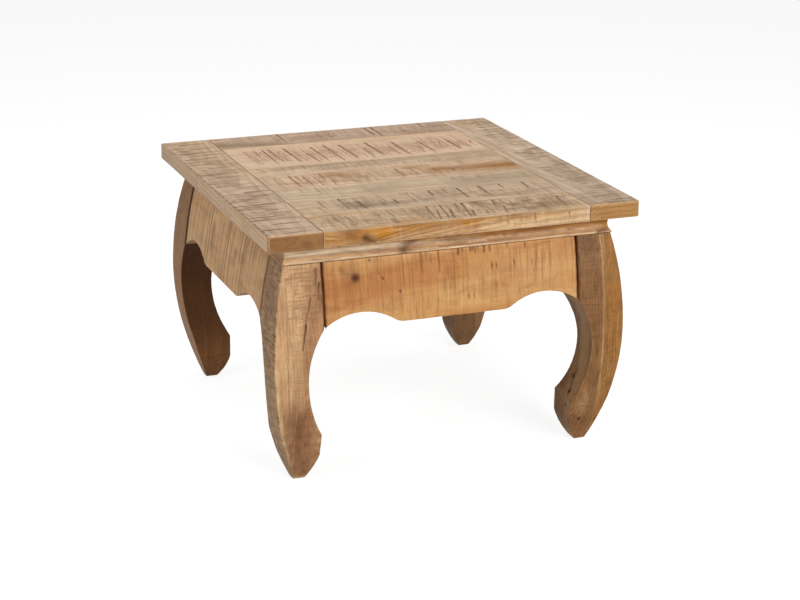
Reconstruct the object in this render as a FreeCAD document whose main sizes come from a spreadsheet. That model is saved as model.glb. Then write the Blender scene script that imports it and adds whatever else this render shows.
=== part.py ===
import FreeCAD, Part
import math
import operator
import os
from types import SimpleNamespace

import Sketcher

# A low square coffee table in solid wood, with a planked top between two end
# boards, a hollow moulding under it, four belly-fronted aprons with scalloped
# lower edges, and four legs that are sawn to one curved outline from the front
# and again from the side. Lengths are millimetres. X runs along the front edge,
# Y goes to the back, Z is up, and the origin is on the floor under the middle.
# An inset is a distance in from the edge of the top, which the legs and the
# aprons are set out from on all four sides.

SIZES = {
    # Whole table
    "table_width": 600.0,
    "table_depth": 600.0,
    "table_height": 405.0,
    # Top: boards that run from left to right, closed by an end board each side
    "top_thickness": 26.0,
    "end_board_width": 85.0,
    "first_joint_share": 0.142,
    "second_joint_share": 0.283,
    "third_joint_share": 0.397,
    "fourth_joint_share": 0.547,
    "fifth_joint_share": 0.637,
    "sixth_joint_share": 0.870,
    "tongue_length": 12.0,
    "tongue_thickness": 8.0,
    "tongue_setback": 25.0,
    "groove_clearance": 0.5,
    "top_arris": 1.2,
    # Moulding frame between the top and the legs
    "moulding_height": 30.0,
    "moulding_edge_inset": 31.0,
    "moulding_inner_inset": 79.0,
    "moulding_lower_edge": 2.0,
    "moulding_upper_edge": 3.0,
    "moulding_hollow": 5.5,
    # Legs: the outer curve from the moulding to the foot, with its fullest point
    # at a share of the leg's height
    "bulge_inset": 11.5,
    "bulge_height_share": 0.559,
    "foot_outer_inset": 51.5,
    "foot_size": 21.0,
    # Legs: the inner curve from the foot to the apron, with its deepest point at
    # a share of the height under the apron
    "leg_inner_inset": 92.0,
    "toe_height": 42.0,
    "toe_bulge": 2.5,
    "hoof_height": 78.0,
    "hollow_inset": 67.5,
    "hollow_height_share": 0.684,
    # Legs: two boards glued face to face, and the outer arris taken off
    "glue_line_inset": 48.0,
    "outer_arris": 3.0,
    # Aprons, measured down from the moulding
    "apron_reveal": 1.5,
    "apron_inner_inset": 52.0,
    "apron_drop": 101.5,
    "scallop_run": 58.0,
    "scallop_rise": 21.0,
    "scallop_radius": 95.0,
    "return_radius": 31.0,
    "tenon_outer_inset": 33.0,
    "tenon_thickness": 10.0,
    "tenon_drop": 24.0,
    "tenon_height": 60.0,
    "tenon_length": 24.0,
    "mortise_clearance": 1.0,
    # Dowels between the legs and the moulding frame, one to a leg
    "dowel_radius": 4.0,
    "dowel_length": 36.0,
    "dowel_across_inset": 44.0,
    "dowel_along_inset": 55.0,
    "dowel_clearance": 1.0,
    # Corner blocks inside the aprons
    "block_height": 38.0,
    "block_thickness": 22.0,
    "block_leg_gap": 0.5,
    # Screws through the blocks into the legs, and through the frame into the top
    "block_screw_length": 42.0,
    "top_screw_length": 42.0,
    # One pattern of screw
    "screw_radius": 2.0,
    "screw_head_radius": 4.2,
    "screw_head_height": 2.6,
    "screw_hole_clearance": 0.25,
    # How far a cut runs past the wood that it removes
    "overrun": 6.0,
}

DOCUMENT = FreeCAD.newDocument("coffee_table")
SHEET = DOCUMENT.addObject("Spreadsheet::Sheet", "sizes")


class Size:
    """A length that keeps both its number and the formula that it comes from."""

    def __init__(self, value, text):
        self.value = value
        self.text = text

    def __add__(self, other):
        return combine(operator.add, "+", self, other)

    def __sub__(self, other):
        return combine(operator.sub, "-", self, other)

    def __mul__(self, other):
        return combine(operator.mul, "*", self, other)

    def __truediv__(self, other):
        return combine(operator.truediv, "/", self, other)

    def __neg__(self):
        return ZERO - self


def combine(work, sign, first, second):
    if not isinstance(second, Size):
        second = Size(float(second), repr(second))
    text = "(" + first.text + " " + sign + " " + second.text + ")"
    return Size(work(first.value, second.value), text)


def root(size):
    return Size(math.sqrt(size.value), "sqrt(" + size.text + ")")


def fill_sheet():
    """Writes each driving size to the sheet and returns them all by name."""
    named = {}
    for row, (alias, number) in enumerate(SIZES.items(), start=1):
        cell = "B" + str(row)
        SHEET.set("A" + str(row), alias)
        SHEET.set(cell, str(number))
        SHEET.setAlias(cell, alias)
        named[alias] = Size(number, "sizes." + alias)
    DOCUMENT.recompute()
    return SimpleNamespace(**named)


ZERO = Size(0.0, "0")
size = fill_sheet()

half_width = size.table_width / 2
half_depth = size.table_depth / 2
top_underside = size.table_height - size.top_thickness
frame_underside = top_underside - size.moulding_height
bulge_height = frame_underside * size.bulge_height_share
apron_low_height = frame_underside - size.apron_drop
tenon_high_height = frame_underside - size.tenon_drop
tenon_low_height = tenon_high_height - size.tenon_height
dowel_hole_depth = size.dowel_length / 2 + size.dowel_clearance
top_screw_inset = (size.apron_inner_inset + size.moulding_inner_inset) / 2
parts = []


def corners_of_table():
    """Each corner as a sign from left to right, a sign from front to back, and a name."""
    for end, end_name in zip((-1, 1), ("front", "back")):
        for side, side_name in zip((-1, 1), ("left", "right")):
            yield side, end, end_name + "_" + side_name


def sides_of_table():
    """Each side's name, its quarter turns from the front, and half its spans."""
    for turns, name in enumerate(("front", "right", "back", "left")):
        if name in ("front", "back"):
            yield name, turns, half_width, half_depth
        else:
            yield name, turns, half_depth, half_width


def radius_from_side(run, rise):
    """Radius of an arc that starts square to its run and ends run and rise away."""
    return (run * run + rise * rise) / (run * 2)


def radius_from_bulge(run, rise, bulge):
    """Radius of an arc over a slanting chord that it leaves by bulge at mid length."""
    chord_squared = run * run + rise * rise
    return (chord_squared / 4 + bulge * bulge) / (bulge * 2)


class Arc:
    """An arc to the next corner. Toward points from its chord to its centre."""

    def __init__(self, radius, toward):
        self.radius = radius
        self.toward = toward


def plane_of(body, role):
    for feature in body.Origin.OriginFeatures:
        if feature.Role == role:
            return feature
    raise RuntimeError("No plane " + role)


def arc_between(start, end, arc):
    """The arc's edge, and True where the edge begins at the start corner."""
    chord = end - start
    middle = (start + end) / 2
    square = FreeCAD.Vector(-chord.y, chord.x, 0)
    if square.dot(FreeCAD.Vector(arc.toward[0], arc.toward[1], 0)) < 0:
        square = -square
    square.normalize()
    depth = math.sqrt(max(arc.radius.value ** 2 - (chord.Length / 2) ** 2, 0))
    centre = middle + square * depth
    first = math.atan2(start.y - centre.y, start.x - centre.x)
    last = math.atan2(end.y - centre.y, end.x - centre.x)
    turn = (last - first) % (2 * math.pi)
    forward = turn < math.pi
    if not forward:
        first, last = last, first
    circle = Part.Circle(centre, FreeCAD.Vector(0, 0, 1), arc.radius.value)
    return Part.ArcOfCircle(circle, first, last), forward


def add_loop(sketch, corners, arcs):
    """Draws a closed outline. Each corner and radius is bound to its formula."""
    base = sketch.GeometryCount
    points = [FreeCAD.Vector(u.value, v.value, 0) for u, v in corners]
    ends = []
    for number, start in enumerate(points):
        end = points[(number + 1) % len(points)]
        if number in arcs:
            edge, forward = arc_between(start, end, arcs[number])
        else:
            edge, forward = Part.LineSegment(start, end), True
        sketch.addGeometry(edge, False)
        ends.append((1, 2) if forward else (2, 1))
    for number, (u, v) in enumerate(corners):
        here = base + number
        after = (number + 1) % len(corners)
        join = Sketcher.Constraint("Coincident", here, ends[number][1], base + after, ends[after][0])
        sketch.addConstraint(join)
        for direction, distance in (("DistanceX", u), ("DistanceY", v)):
            bind_datum(sketch, direction, (-1, 1, here, ends[number][0]), distance)
        if number in arcs:
            bind_datum(sketch, "Radius", (here,), arcs[number].radius)


def bind_datum(sketch, kind, where, distance):
    index = sketch.addConstraint(Sketcher.Constraint(kind, *where, distance.value))
    name = kind.lower() + "_" + str(index)
    sketch.renameConstraint(index, name)
    sketch.setExpression("Constraints." + name, distance.text)


def bind(feature, name, distance):
    feature.setExpression(name, distance.text)


def sketch_on(body, role, offset, loops, name):
    """A sketch parallel to one of the body's own planes, offset along its normal."""
    sketch = body.newObject("Sketcher::SketchObject", name)
    sketch.AttachmentSupport = [(plane_of(body, role), "")]
    sketch.MapMode = "FlatFace"
    sketch.AttachmentOffset = FreeCAD.Placement(
        FreeCAD.Vector(0, 0, offset.value), FreeCAD.Rotation())
    bind(sketch, "AttachmentOffset.Base.z", offset)
    for corners, arcs in loops:
        add_loop(sketch, corners, arcs)
    return sketch


# The plane that looks along Y has its normal towards the front, so offsets on
# it run from the back to the front.
def pad_between(body, role, low, high, loops, name):
    """A solid of this outline, from low to high along the axis it faces."""
    offset = -high if role == "XZ_Plane" else low
    pad = body.newObject("PartDesign::Pad", name)
    pad.Profile = sketch_on(body, role, offset, loops, name + "_outline")
    pad.Length = (high - low).value
    bind(pad, "Length", high - low)
    DOCUMENT.recompute()
    return pad


def cut_between(body, role, low, high, loops, name):
    """Removes this outline from low to high along the axis it faces."""
    before = body.Shape.Volume
    offset = -low if role == "XZ_Plane" else high
    pocket = body.newObject("PartDesign::Pocket", name)
    pocket.Profile = sketch_on(body, role, offset, loops, name + "_outline")
    pocket.Length = (high - low).value
    bind(pocket, "Length", high - low)
    DOCUMENT.recompute()
    if body.Shape.Volume >= before:
        raise RuntimeError(name + " cuts nothing")
    return pocket


def shape_feature(body, kind, extents, place, name, turn=None):
    """A block, cylinder or cone, in a body or, with none, as an object of its own."""
    if body:
        feature = body.newObject("PartDesign::" + kind, name)
    else:
        feature = DOCUMENT.addObject("Part::" + kind, name)
    for side, extent in extents.items():
        setattr(feature, side, extent.value)
        bind(feature, side, extent)
    spot = FreeCAD.Vector(*[distance.value for distance in place])
    feature.Placement = FreeCAD.Placement(spot, turn or FreeCAD.Rotation())
    for axis, distance in zip("xyz", place):
        bind(feature, "Placement.Base." + axis, distance)
    DOCUMENT.recompute()
    return feature


def block_between(body, kind, low, high, name):
    """Adds or cuts a square block between two corners, as a tenon or its mortise."""
    extents = [far - near for near, far in zip(low, high)]
    shape_feature(body, kind + "Box", dict(zip(("Length", "Width", "Height"), extents)), low, name)


def drill(body, radius, depth, foot, name, turn=None):
    """A round hole from its foot, straight up or along the turned Z axis."""
    shape_feature(
        body, "SubtractiveCylinder", {"Radius": radius, "Height": depth}, foot, name, turn)


def new_body(name):
    return DOCUMENT.addObject("PartDesign::Body", name)


def finish(item, name):
    """Names a finished piece and puts it on the list that is written out."""
    item.Label = name
    parts.append(item)


def turn_to_side(body, turns):
    """Carries a piece that is drawn as the front one round to its own side."""
    rotation = FreeCAD.Rotation(FreeCAD.Vector(0, 0, 1), 90 * turns)
    body.Placement = FreeCAD.Placement(FreeCAD.Vector(), rotation)
    DOCUMENT.recompute()


def side_span(sign, half, near, far):
    """Low end and high end of a stretch between two insets, on one side."""
    if sign < 0:
        return near - half, far - half
    return half - far, half - near


def rectangle(low_u, low_v, high_u, high_v):
    return [(low_u, low_v), (high_u, low_v), (high_u, high_v), (low_u, high_v)], {}


def ease(body, width, chosen, name):
    """Takes the arris off each edge that is chosen."""
    worn = body.Tip
    edges = [
        "Edge" + str(number)
        for number, edge in enumerate(worn.Shape.Edges, start=1) if chosen(edge)]
    if edges:
        chamfer = body.newObject("PartDesign::Chamfer", name)
        chamfer.Base = (worn, edges)
        chamfer.Size = width.value
        bind(chamfer, "Size", width)
        DOCUMENT.recompute()


def middle_of(edge):
    return edge.valueAt((edge.FirstParameter + edge.LastParameter) / 2)


def is_upright(edge):
    """True where an edge climbs more than it runs level."""
    along = edge.tangentAt((edge.FirstParameter + edge.LastParameter) / 2)
    return abs(along.z) > math.hypot(along.x, along.y)


# Curves that the legs share with the aprons

belly_radius = radius_from_side(
    size.moulding_edge_inset - size.bulge_inset, frame_underside - bulge_height)
scallop_inset = size.leg_inner_inset + size.scallop_run
scallop_centre_height = apron_low_height + size.scallop_rise - size.scallop_radius
shoulder_height = scallop_centre_height + root(
    size.scallop_radius * size.scallop_radius - size.scallop_run * size.scallop_run)


def belly_inset(height):
    """Inset of the legs' outer curve at a height above its fullest point."""
    rise = height - bulge_height
    return size.bulge_inset + belly_radius - root(belly_radius * belly_radius - rise * rise)


def leg_outline(sign, half):
    """The leg seen from the front or the side, as insets turned into places."""
    foot_inner_inset = size.foot_outer_inset + size.foot_size
    hollow_height = shoulder_height * size.hollow_height_share
    hollow_run = size.leg_inner_inset - size.hollow_inset
    places = [
        (size.moulding_edge_inset, frame_underside),
        (size.bulge_inset, bulge_height),
        (size.foot_outer_inset, ZERO),
        (foot_inner_inset, ZERO),
        (size.leg_inner_inset, size.toe_height),
        (size.leg_inner_inset, size.hoof_height),
        (size.hollow_inset, hollow_height),
        (size.leg_inner_inset, shoulder_height),
        (size.leg_inner_inset, frame_underside),
    ]
    inward = (-sign, 0)
    outward = (sign, 0)
    shin_radius = radius_from_side(size.foot_outer_inset - size.bulge_inset, bulge_height)
    toe_radius = radius_from_bulge(
        size.leg_inner_inset - foot_inner_inset, size.toe_height, size.toe_bulge)
    hoof_radius = radius_from_side(hollow_run, hollow_height - size.hoof_height)
    knee_radius = radius_from_side(hollow_run, shoulder_height - hollow_height)
    arcs = {
        0: Arc(belly_radius, inward),
        1: Arc(shin_radius, inward),
        3: Arc(toe_radius, outward),
        5: Arc(hoof_radius, inward),
        6: Arc(knee_radius, inward),
    }
    corners = [((half - inset) * sign, height) for inset, height in places]
    return corners, arcs


# Legs

def is_outer_arris(edge):
    middle = middle_of(edge)
    return (is_upright(edge)
            and abs(middle.x) > (half_width - size.glue_line_inset).value
            and abs(middle.y) > (half_depth - size.glue_line_inset).value)


def sawn_leg(body, side, end, name):
    """A leg sawn to its outline from the side, then from the front, and eased."""
    near, far = size.bulge_inset, size.leg_inner_inset
    low_x, high_x = side_span(side, half_width, near, far)
    pad_between(body, "YZ_Plane", low_x, high_x, [leg_outline(end, half_depth)], name + "_side_sawn")
    low_x, high_x = side_span(side, half_width, near - size.overrun, far + size.overrun)
    low_y, high_y = side_span(end, half_depth, near - size.overrun, far + size.overrun)
    waste = rectangle(low_x, -size.overrun, high_x, frame_underside + size.overrun)
    loops = [waste, leg_outline(side, half_width)]
    cut_between(body, "XZ_Plane", low_y, high_y, loops, name + "_front_sawn")
    ease(body, size.outer_arris, is_outer_arris, name + "_outer_arris")


def keep_board(body, side, end, waste_insets, name):
    """Leaves one of the leg's two boards, by taking the other off at the glue line."""
    low_x, high_x = side_span(side, half_width, *waste_insets)
    low_y, high_y = side_span(
        end, half_depth, size.bulge_inset - size.overrun, size.leg_inner_inset + size.overrun)
    low = (low_x, low_y, -size.overrun)
    high = (high_x, high_y, frame_underside + size.overrun)
    block_between(body, "Subtractive", low, high, name + "_glue_line")


def cut_mortise(body, side, end, along_x, name):
    """A mortise for one apron's tenon, in the face that the apron meets."""
    deep_inset = size.leg_inner_inset - size.tenon_length - size.mortise_clearance
    deep = (deep_inset, size.leg_inner_inset)
    cheeks = (size.tenon_outer_inset, size.tenon_outer_inset + size.tenon_thickness)
    x_insets, y_insets = (deep, cheeks) if along_x else (cheeks, deep)
    low_x, high_x = side_span(side, half_width, *x_insets)
    low_y, high_y = side_span(end, half_depth, *y_insets)
    low = (low_x, low_y, tenon_low_height)
    high = (high_x, high_y, tenon_high_height)
    block_between(body, "Subtractive", low, high, name)


def dowel_foot(side, end, depth):
    x_inset, y_inset = size.dowel_along_inset, size.dowel_across_inset
    return (half_width - x_inset) * side, (half_depth - y_inset) * end, frame_underside - depth


def make_legs():
    inner_waste = (size.glue_line_inset, size.leg_inner_inset + size.overrun)
    outer_waste = (size.bulge_inset - size.overrun, size.glue_line_inset)
    for side, end, place in corners_of_table():
        name = place + "_leg_outer"
        outer = new_body(name + "_board")
        sawn_leg(outer, side, end, name)
        keep_board(outer, side, end, inner_waste, name)
        cut_mortise(outer, side, end, False, name + "_mortise")
        finish(outer, "leg_" + place + "_outer")
        name = place + "_leg_inner"
        inner = new_body(name + "_board")
        sawn_leg(inner, side, end, name)
        keep_board(inner, side, end, outer_waste, name)
        cut_mortise(inner, side, end, True, name + "_mortise")
        foot = dowel_foot(side, end, dowel_hole_depth)
        drill(inner, size.dowel_radius, dowel_hole_depth, foot, name + "_dowel_hole")
        finish(cut_with(inner, [block_screws[place]], name + "_drilled"), "leg_" + place + "_inner")


# Aprons and moulding strips are drawn as the front one, and turned to their side.

def apron_section(half_across):
    """The apron cut across: a belly front, a flat back, and wood to spare below."""
    low = apron_low_height - size.scallop_rise
    corners = [
        (size.moulding_edge_inset + size.apron_reveal - half_across, frame_underside),
        (belly_inset(low) + size.apron_reveal - half_across, low),
        (size.apron_inner_inset - half_across, low),
        (size.apron_inner_inset - half_across, frame_underside),
    ]
    return corners, {0: Arc(belly_radius, (1, 0))}


def scallop_waste(half_along):
    """The wood sawn from below the apron, up to its scalloped edge."""
    wave = size.scallop_radius + size.return_radius
    rise = apron_low_height + size.return_radius - scallop_centre_height
    run = root(wave * wave - rise * rise)
    scallop_share = size.scallop_radius / wave
    half_edge = [
        (size.leg_inner_inset, apron_low_height - size.scallop_rise - size.overrun),
        (size.leg_inner_inset, shoulder_height),
        (scallop_inset + run * scallop_share, scallop_centre_height + rise * scallop_share),
        (scallop_inset + run, apron_low_height),
    ]
    corners = [(inset - half_along, height) for inset, height in half_edge]
    corners += [(half_along - inset, height) for inset, height in reversed(half_edge)]
    scallop = Arc(size.scallop_radius, (0, -1))
    back_curve = Arc(size.return_radius, (0, 1))
    return corners, {1: scallop, 2: back_curve, 4: back_curve, 5: scallop}


def make_aprons():
    for place, turns, half_along, half_across in sides_of_table():
        name = "apron_" + place
        body = new_body(name + "_board")
        shoulder = half_along - size.leg_inner_inset
        pad_between(
            body, "YZ_Plane", -shoulder, shoulder, [apron_section(half_across)], name + "_blank")
        waste_low = -half_across - size.overrun
        waste_high = size.apron_inner_inset - half_across + size.overrun
        cut_between(
            body, "XZ_Plane", waste_low, waste_high, [scallop_waste(half_along)], name + "_scallops")
        reach = shoulder + size.tenon_length
        cheek = size.tenon_outer_inset - half_across
        low = (-reach, cheek, tenon_low_height)
        high = (reach, cheek + size.tenon_thickness, tenon_high_height)
        block_between(body, "Additive", low, high, name + "_tenons")
        turn_to_side(body, turns)
        finish(body, name)


def moulding_section(half_across):
    """The moulding cut across: a hollow face between two narrow flat edges."""
    edge = size.moulding_edge_inset - half_across
    inner = size.moulding_inner_inset - half_across
    hollow_low = frame_underside + size.moulding_lower_edge
    hollow_high = top_underside - size.moulding_upper_edge
    radius = radius_from_bulge(ZERO, hollow_high - hollow_low, size.moulding_hollow)
    corners = [
        (edge, frame_underside),
        (edge, hollow_low),
        (edge, hollow_high),
        (edge, top_underside),
        (inner, top_underside),
        (inner, frame_underside),
    ]
    return corners, {1: Arc(radius, (-1, 0))}


def mitre_waste(half_along, half_across, hand):
    """The corner sawn off one end of a moulding strip, at 45 degrees."""
    near = size.moulding_edge_inset - size.overrun
    far = size.moulding_inner_inset + size.overrun
    corners = [
        ((half_along - near) * hand, near - half_across),
        ((half_along - far) * hand, far - half_across),
        ((half_along - near) * hand, far - half_across),
    ]
    return corners, {}


def make_mouldings():
    for place, turns, half_along, half_across in sides_of_table():
        name = "moulding_" + place
        body = new_body(name + "_strip")
        reach = half_along - size.moulding_edge_inset
        pad_between(
            body, "YZ_Plane", -reach, reach, [moulding_section(half_across)], name + "_blank")
        for hand, end in zip((-1, 1), ("left", "right")):
            cut_between(
                body, "XY_Plane", frame_underside - size.overrun, top_underside + size.overrun,
                [mitre_waste(half_along, half_across, hand)], name + "_mitre_" + end)
            if place in ("front", "back"):
                along = (half_along - size.dowel_along_inset) * hand
                foot = (along, size.dowel_across_inset - half_across, frame_underside)
                drill(body, size.dowel_radius, dowel_hole_depth, foot, name + "_dowel_hole_" + end)
        foot = (ZERO, top_screw_inset - half_across, frame_underside)
        seat_screw(body, foot, size.moulding_height, name + "_screw")
        turn_to_side(body, turns)
        finish(body, name)


# Corner blocks, screws and dowels. A block's faces are lines of equal sum of the
# two insets in plan.

block_front_line = size.leg_inner_inset * 2 + size.block_leg_gap
block_back_line = block_front_line + size.block_thickness * math.sqrt(2)

HEAD = {
    "Radius1": size.screw_head_radius,
    "Radius2": size.screw_radius,
    "Height": size.screw_head_height,
}


class Screw:
    """A countersunk screw from its head's face, straight up or along the turned Z axis."""

    def __init__(self, name, place, length, turn=None):
        self.place = place
        self.turn = turn
        extents = {"Radius": size.screw_radius, "Height": length}
        self.shank = shape_feature(None, "Cylinder", extents, place, name + "_shank", turn)
        head = shape_feature(None, "Cone", HEAD, place, name + "_head", turn)
        self.solid = DOCUMENT.addObject("Part::Fuse", name)
        self.solid.Base = self.shank
        self.solid.Tool = head
        self.solid.Refine = True


def seat_screw(body, place, grip, name, turn=None):
    """A clearance hole through the wood that a screw grips, and its countersink."""
    radius = size.screw_radius + size.screw_hole_clearance
    drill(body, radius, grip, place, name + "_hole", turn)
    shape_feature(body, "SubtractiveCone", HEAD, place, name + "_countersink", turn)


def cut_with(board, screws, name):
    """The board with a hole for each screw's shank."""
    pilots = DOCUMENT.addObject("Part::Compound", name + "_pilots")
    pilots.Links = [screw.shank for screw in screws]
    cut = DOCUMENT.addObject("Part::Cut", name)
    cut.Base = board
    cut.Tool = pilots
    DOCUMENT.recompute()
    return cut


def group(items, name):
    """Like fasteners in one node, as separate solids."""
    compound = DOCUMENT.addObject("Part::Compound", name + "_group")
    compound.Links = items
    DOCUMENT.recompute()
    finish(compound, name)


def make_top_screws():
    """One screw to a strip of the moulding frame, at the middle of its length."""
    screws = []
    for place, turns, half_along, half_across in sides_of_table():
        run = half_across - top_screw_inset
        x, y = ((ZERO, -run), (run, ZERO), (ZERO, run), (-run, ZERO))[turns]
        screws.append(Screw("top_screw_" + place, (x, y, frame_underside), size.top_screw_length))
    return screws


def make_block_screws():
    """One screw to a corner block, on the diagonal, into the corner of the leg."""
    screws = {}
    inset = block_back_line / 2
    height = frame_underside - size.block_height / 2
    for side, end, place in corners_of_table():
        spot = ((half_width - inset) * side, (half_depth - inset) * end, height)
        outwards = FreeCAD.Rotation(FreeCAD.Vector(0, 0, 1), FreeCAD.Vector(side, end, 0))
        screws[place] = Screw("block_screw_" + place, spot, size.block_screw_length, outwards)
    return screws


def make_corner_blocks():
    """Blocks across the inside corners, from one apron to the next."""
    against = size.apron_inner_inset
    near, far = block_front_line - against, block_back_line - against
    plan = [(near, against), (far, against), (against, far), (against, near)]
    low = frame_underside - size.block_height
    for side, end, place in corners_of_table():
        name = "corner_block_" + place
        body = new_body(name + "_wood")
        corners = [((half_width - x) * side, (half_depth - y) * end) for x, y in plan]
        pad_between(body, "XY_Plane", low, frame_underside, [(corners, {})], name + "_plan")
        screw = block_screws[place]
        grip = size.block_thickness + size.overrun
        seat_screw(body, screw.place, grip, name + "_screw", screw.turn)
        finish(body, name)


def make_dowels():
    extents = {"Radius": size.dowel_radius, "Height": size.dowel_length}
    dowels = []
    for side, end, place in corners_of_table():
        foot = dowel_foot(side, end, size.dowel_length / 2)
        dowels.append(shape_feature(None, "Cylinder", extents, foot, "dowel_" + place))
    group(dowels, "moulding_dowels")


# Top

def is_edge_of_top(edge):
    """True on the outline of the whole top, where no board meets the next."""
    middle = middle_of(edge)
    on_side = math.isclose(abs(middle.x), half_width.value, rel_tol=1e-6)
    on_end = math.isclose(abs(middle.y), half_depth.value, rel_tol=1e-6)
    return (on_side and on_end) if is_upright(edge) else (on_side or on_end)


def make_end_boards():
    groove_depth = size.tongue_length + size.groove_clearance
    groove_low = top_underside + (size.top_thickness - size.tongue_thickness) / 2
    for side, place in ((-1, "left"), (1, "right")):
        body = new_body(place + "_end")
        low_x, high_x = side_span(side, half_width, ZERO, size.end_board_width)
        outline = rectangle(low_x, top_underside, high_x, size.table_height)
        pad_between(body, "XZ_Plane", -half_depth, half_depth, [outline], place + "_end_plank")
        groove_x, groove_end = side_span(
            side, half_width, size.end_board_width - groove_depth, size.end_board_width)
        setback = size.tongue_setback
        low = (groove_x, setback - half_depth, groove_low)
        high = (groove_end, half_depth - setback, groove_low + size.tongue_thickness)
        block_between(body, "Subtractive", low, high, place + "_groove")
        ease(body, size.top_arris, is_edge_of_top, place + "_end_eased")
        finish(cut_with(body, top_screws, place + "_end_drilled"), "end_board_" + place)


JOINT_SHARES = (
    size.first_joint_share, size.second_joint_share, size.third_joint_share,
    size.fourth_joint_share, size.fifth_joint_share, size.sixth_joint_share)


def make_field_boards():
    """The boards of the top, from the front, each with a tongue at both ends."""
    joints = [ZERO] + [size.table_depth * share for share in JOINT_SHARES] + [size.table_depth]
    tongue_low = top_underside + (size.top_thickness - size.tongue_thickness) / 2
    half_length = half_width - size.end_board_width
    last = len(joints) - 2
    for number in range(len(joints) - 1):
        name = "field_board_" + str(number + 1)
        body = new_body(name + "_plank")
        low_y, high_y = joints[number] - half_depth, joints[number + 1] - half_depth
        outline = rectangle(low_y, top_underside, high_y, size.table_height)
        pad_between(body, "YZ_Plane", -half_length, half_length, [outline], name + "_blank")
        tongue_low_y = low_y + size.tongue_setback if number == 0 else low_y
        tongue_high_y = high_y - size.tongue_setback if number == last else high_y
        reach = half_length + size.tongue_length
        low = (-reach, tongue_low_y, tongue_low)
        high = (reach, tongue_high_y, tongue_low + size.tongue_thickness)
        block_between(body, "Additive", low, high, name + "_tongues")
        ease(body, size.top_arris, is_edge_of_top, name + "_eased")
        finish(cut_with(body, top_screws, name + "_drilled"), name)


def write_parts():
    """Stops on any failed object or bad shape, then writes one file for each piece."""
    DOCUMENT.recompute()
    for item in DOCUMENT.Objects:
        if "Invalid" in item.State or "Error" in item.State:
            raise RuntimeError(item.Label + " failed")
    for item in parts:
        if item.Shape.isNull() or not item.Shape.isValid():
            raise RuntimeError(item.Label + " has no valid shape")
    os.makedirs("parts", exist_ok=True)
    for item in parts:
        item.Shape.exportStep("parts/" + item.Label + ".step")
        print(item.Label, len(item.Shape.Solids), "solid", round(item.Shape.Volume), "mm3")


top_screws = make_top_screws()
block_screws = make_block_screws()
make_legs()
make_aprons()
make_mouldings()
make_end_boards()
make_field_boards()
make_corner_blocks()
make_dowels()
group([screw.solid for screw in top_screws], "top_screws")
group([screw.solid for screw in block_screws.values()], "corner_block_screws")
write_parts()
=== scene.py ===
import math
import random
from collections import namedtuple
from dataclasses import dataclass

import bmesh
import bpy
import numpy as np
from mathutils import Matrix, Vector


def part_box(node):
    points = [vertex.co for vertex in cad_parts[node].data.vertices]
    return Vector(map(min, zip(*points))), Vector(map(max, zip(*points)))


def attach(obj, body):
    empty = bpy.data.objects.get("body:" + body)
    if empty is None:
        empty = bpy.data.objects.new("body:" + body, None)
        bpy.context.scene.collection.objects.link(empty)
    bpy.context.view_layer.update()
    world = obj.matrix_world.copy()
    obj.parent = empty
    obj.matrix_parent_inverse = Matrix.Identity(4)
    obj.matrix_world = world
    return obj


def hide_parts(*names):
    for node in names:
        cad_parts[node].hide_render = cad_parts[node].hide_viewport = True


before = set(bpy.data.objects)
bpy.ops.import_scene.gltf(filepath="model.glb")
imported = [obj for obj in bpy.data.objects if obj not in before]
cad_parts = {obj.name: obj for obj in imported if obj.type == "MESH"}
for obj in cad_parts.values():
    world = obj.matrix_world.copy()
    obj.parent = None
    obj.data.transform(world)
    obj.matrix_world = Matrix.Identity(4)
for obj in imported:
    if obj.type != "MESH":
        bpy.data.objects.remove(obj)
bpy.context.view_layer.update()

bl_info = {
    "name": "Carved-leg coffee table",
    "version": (1, 0, 0),
    "blender": (4, 5, 0),
    "location": "View3D > Sidebar > Coffee Table",
    "description": "Dresses the table's boards, moulding, aprons and curved legs in sawn and oiled wood",
    "category": "Add Mesh",
}

# Lengths are metres. X runs along the front edge, Y goes to the back, Z is up.
# An inset is a distance in from the edge of the top.

MILLIMETRE = 0.001
HALF_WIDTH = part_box("end_board_right")[1].x
HALF_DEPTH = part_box("end_board_right")[1].y
FRAME_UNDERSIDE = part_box("moulding_front")[0].z
TOP_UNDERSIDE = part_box("moulding_front")[1].z
CORNERS = {
    "front_left": (-1, -1),
    "front_right": (1, -1),
    "back_left": (-1, 1),
    "back_right": (1, 1),
}
QUARTER_TURNS = {"front": 0, "right": 1, "back": 2, "left": 3}

# Points closer than this are level with each other, and edges bent more than this are arrises
LEVEL = 1e-5
NEARLY_LEVEL = 1e-4
ARRIS_ANGLE = 0.6

# First seed of the noise in each kind of piece. The field boards use their own numbers.
END_SEED = 31
MOULDING_SEED = 50
APRON_SEED = 60
LEG_SEED = 70
BLOCK_SEED = 90

# Slope of the pith against the grain in each kind of piece
FIELD_SLOPE = 0.03
END_SLOPE = 0.04
MOULDING_SLOPE = 0.02
APRON_SLOPE = 0.04
LEG_SLOPE = 0.08
BLOCK_SLOPE = 0.1


def length(name, default, description):
    """A property that holds a length in metres."""
    return bpy.props.FloatProperty(
        name=name, description=description, default=default, min=0.0, unit="LENGTH", precision=4)


def srgb(red, green, blue):
    """A colour as it looks on a screen, from 0 to 255, turned into linear light."""
    def linear(channel):
        share = channel / 255
        return share / 12.92 if share <= 0.04045 else ((share + 0.055) / 1.055) ** 2.4
    return linear(red), linear(green), linear(blue)


def colour(name, default, description):
    return bpy.props.FloatVectorProperty(
        name=name, description=description, default=default, subtype="COLOR", size=3, min=0.0, max=1.0)


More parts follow.
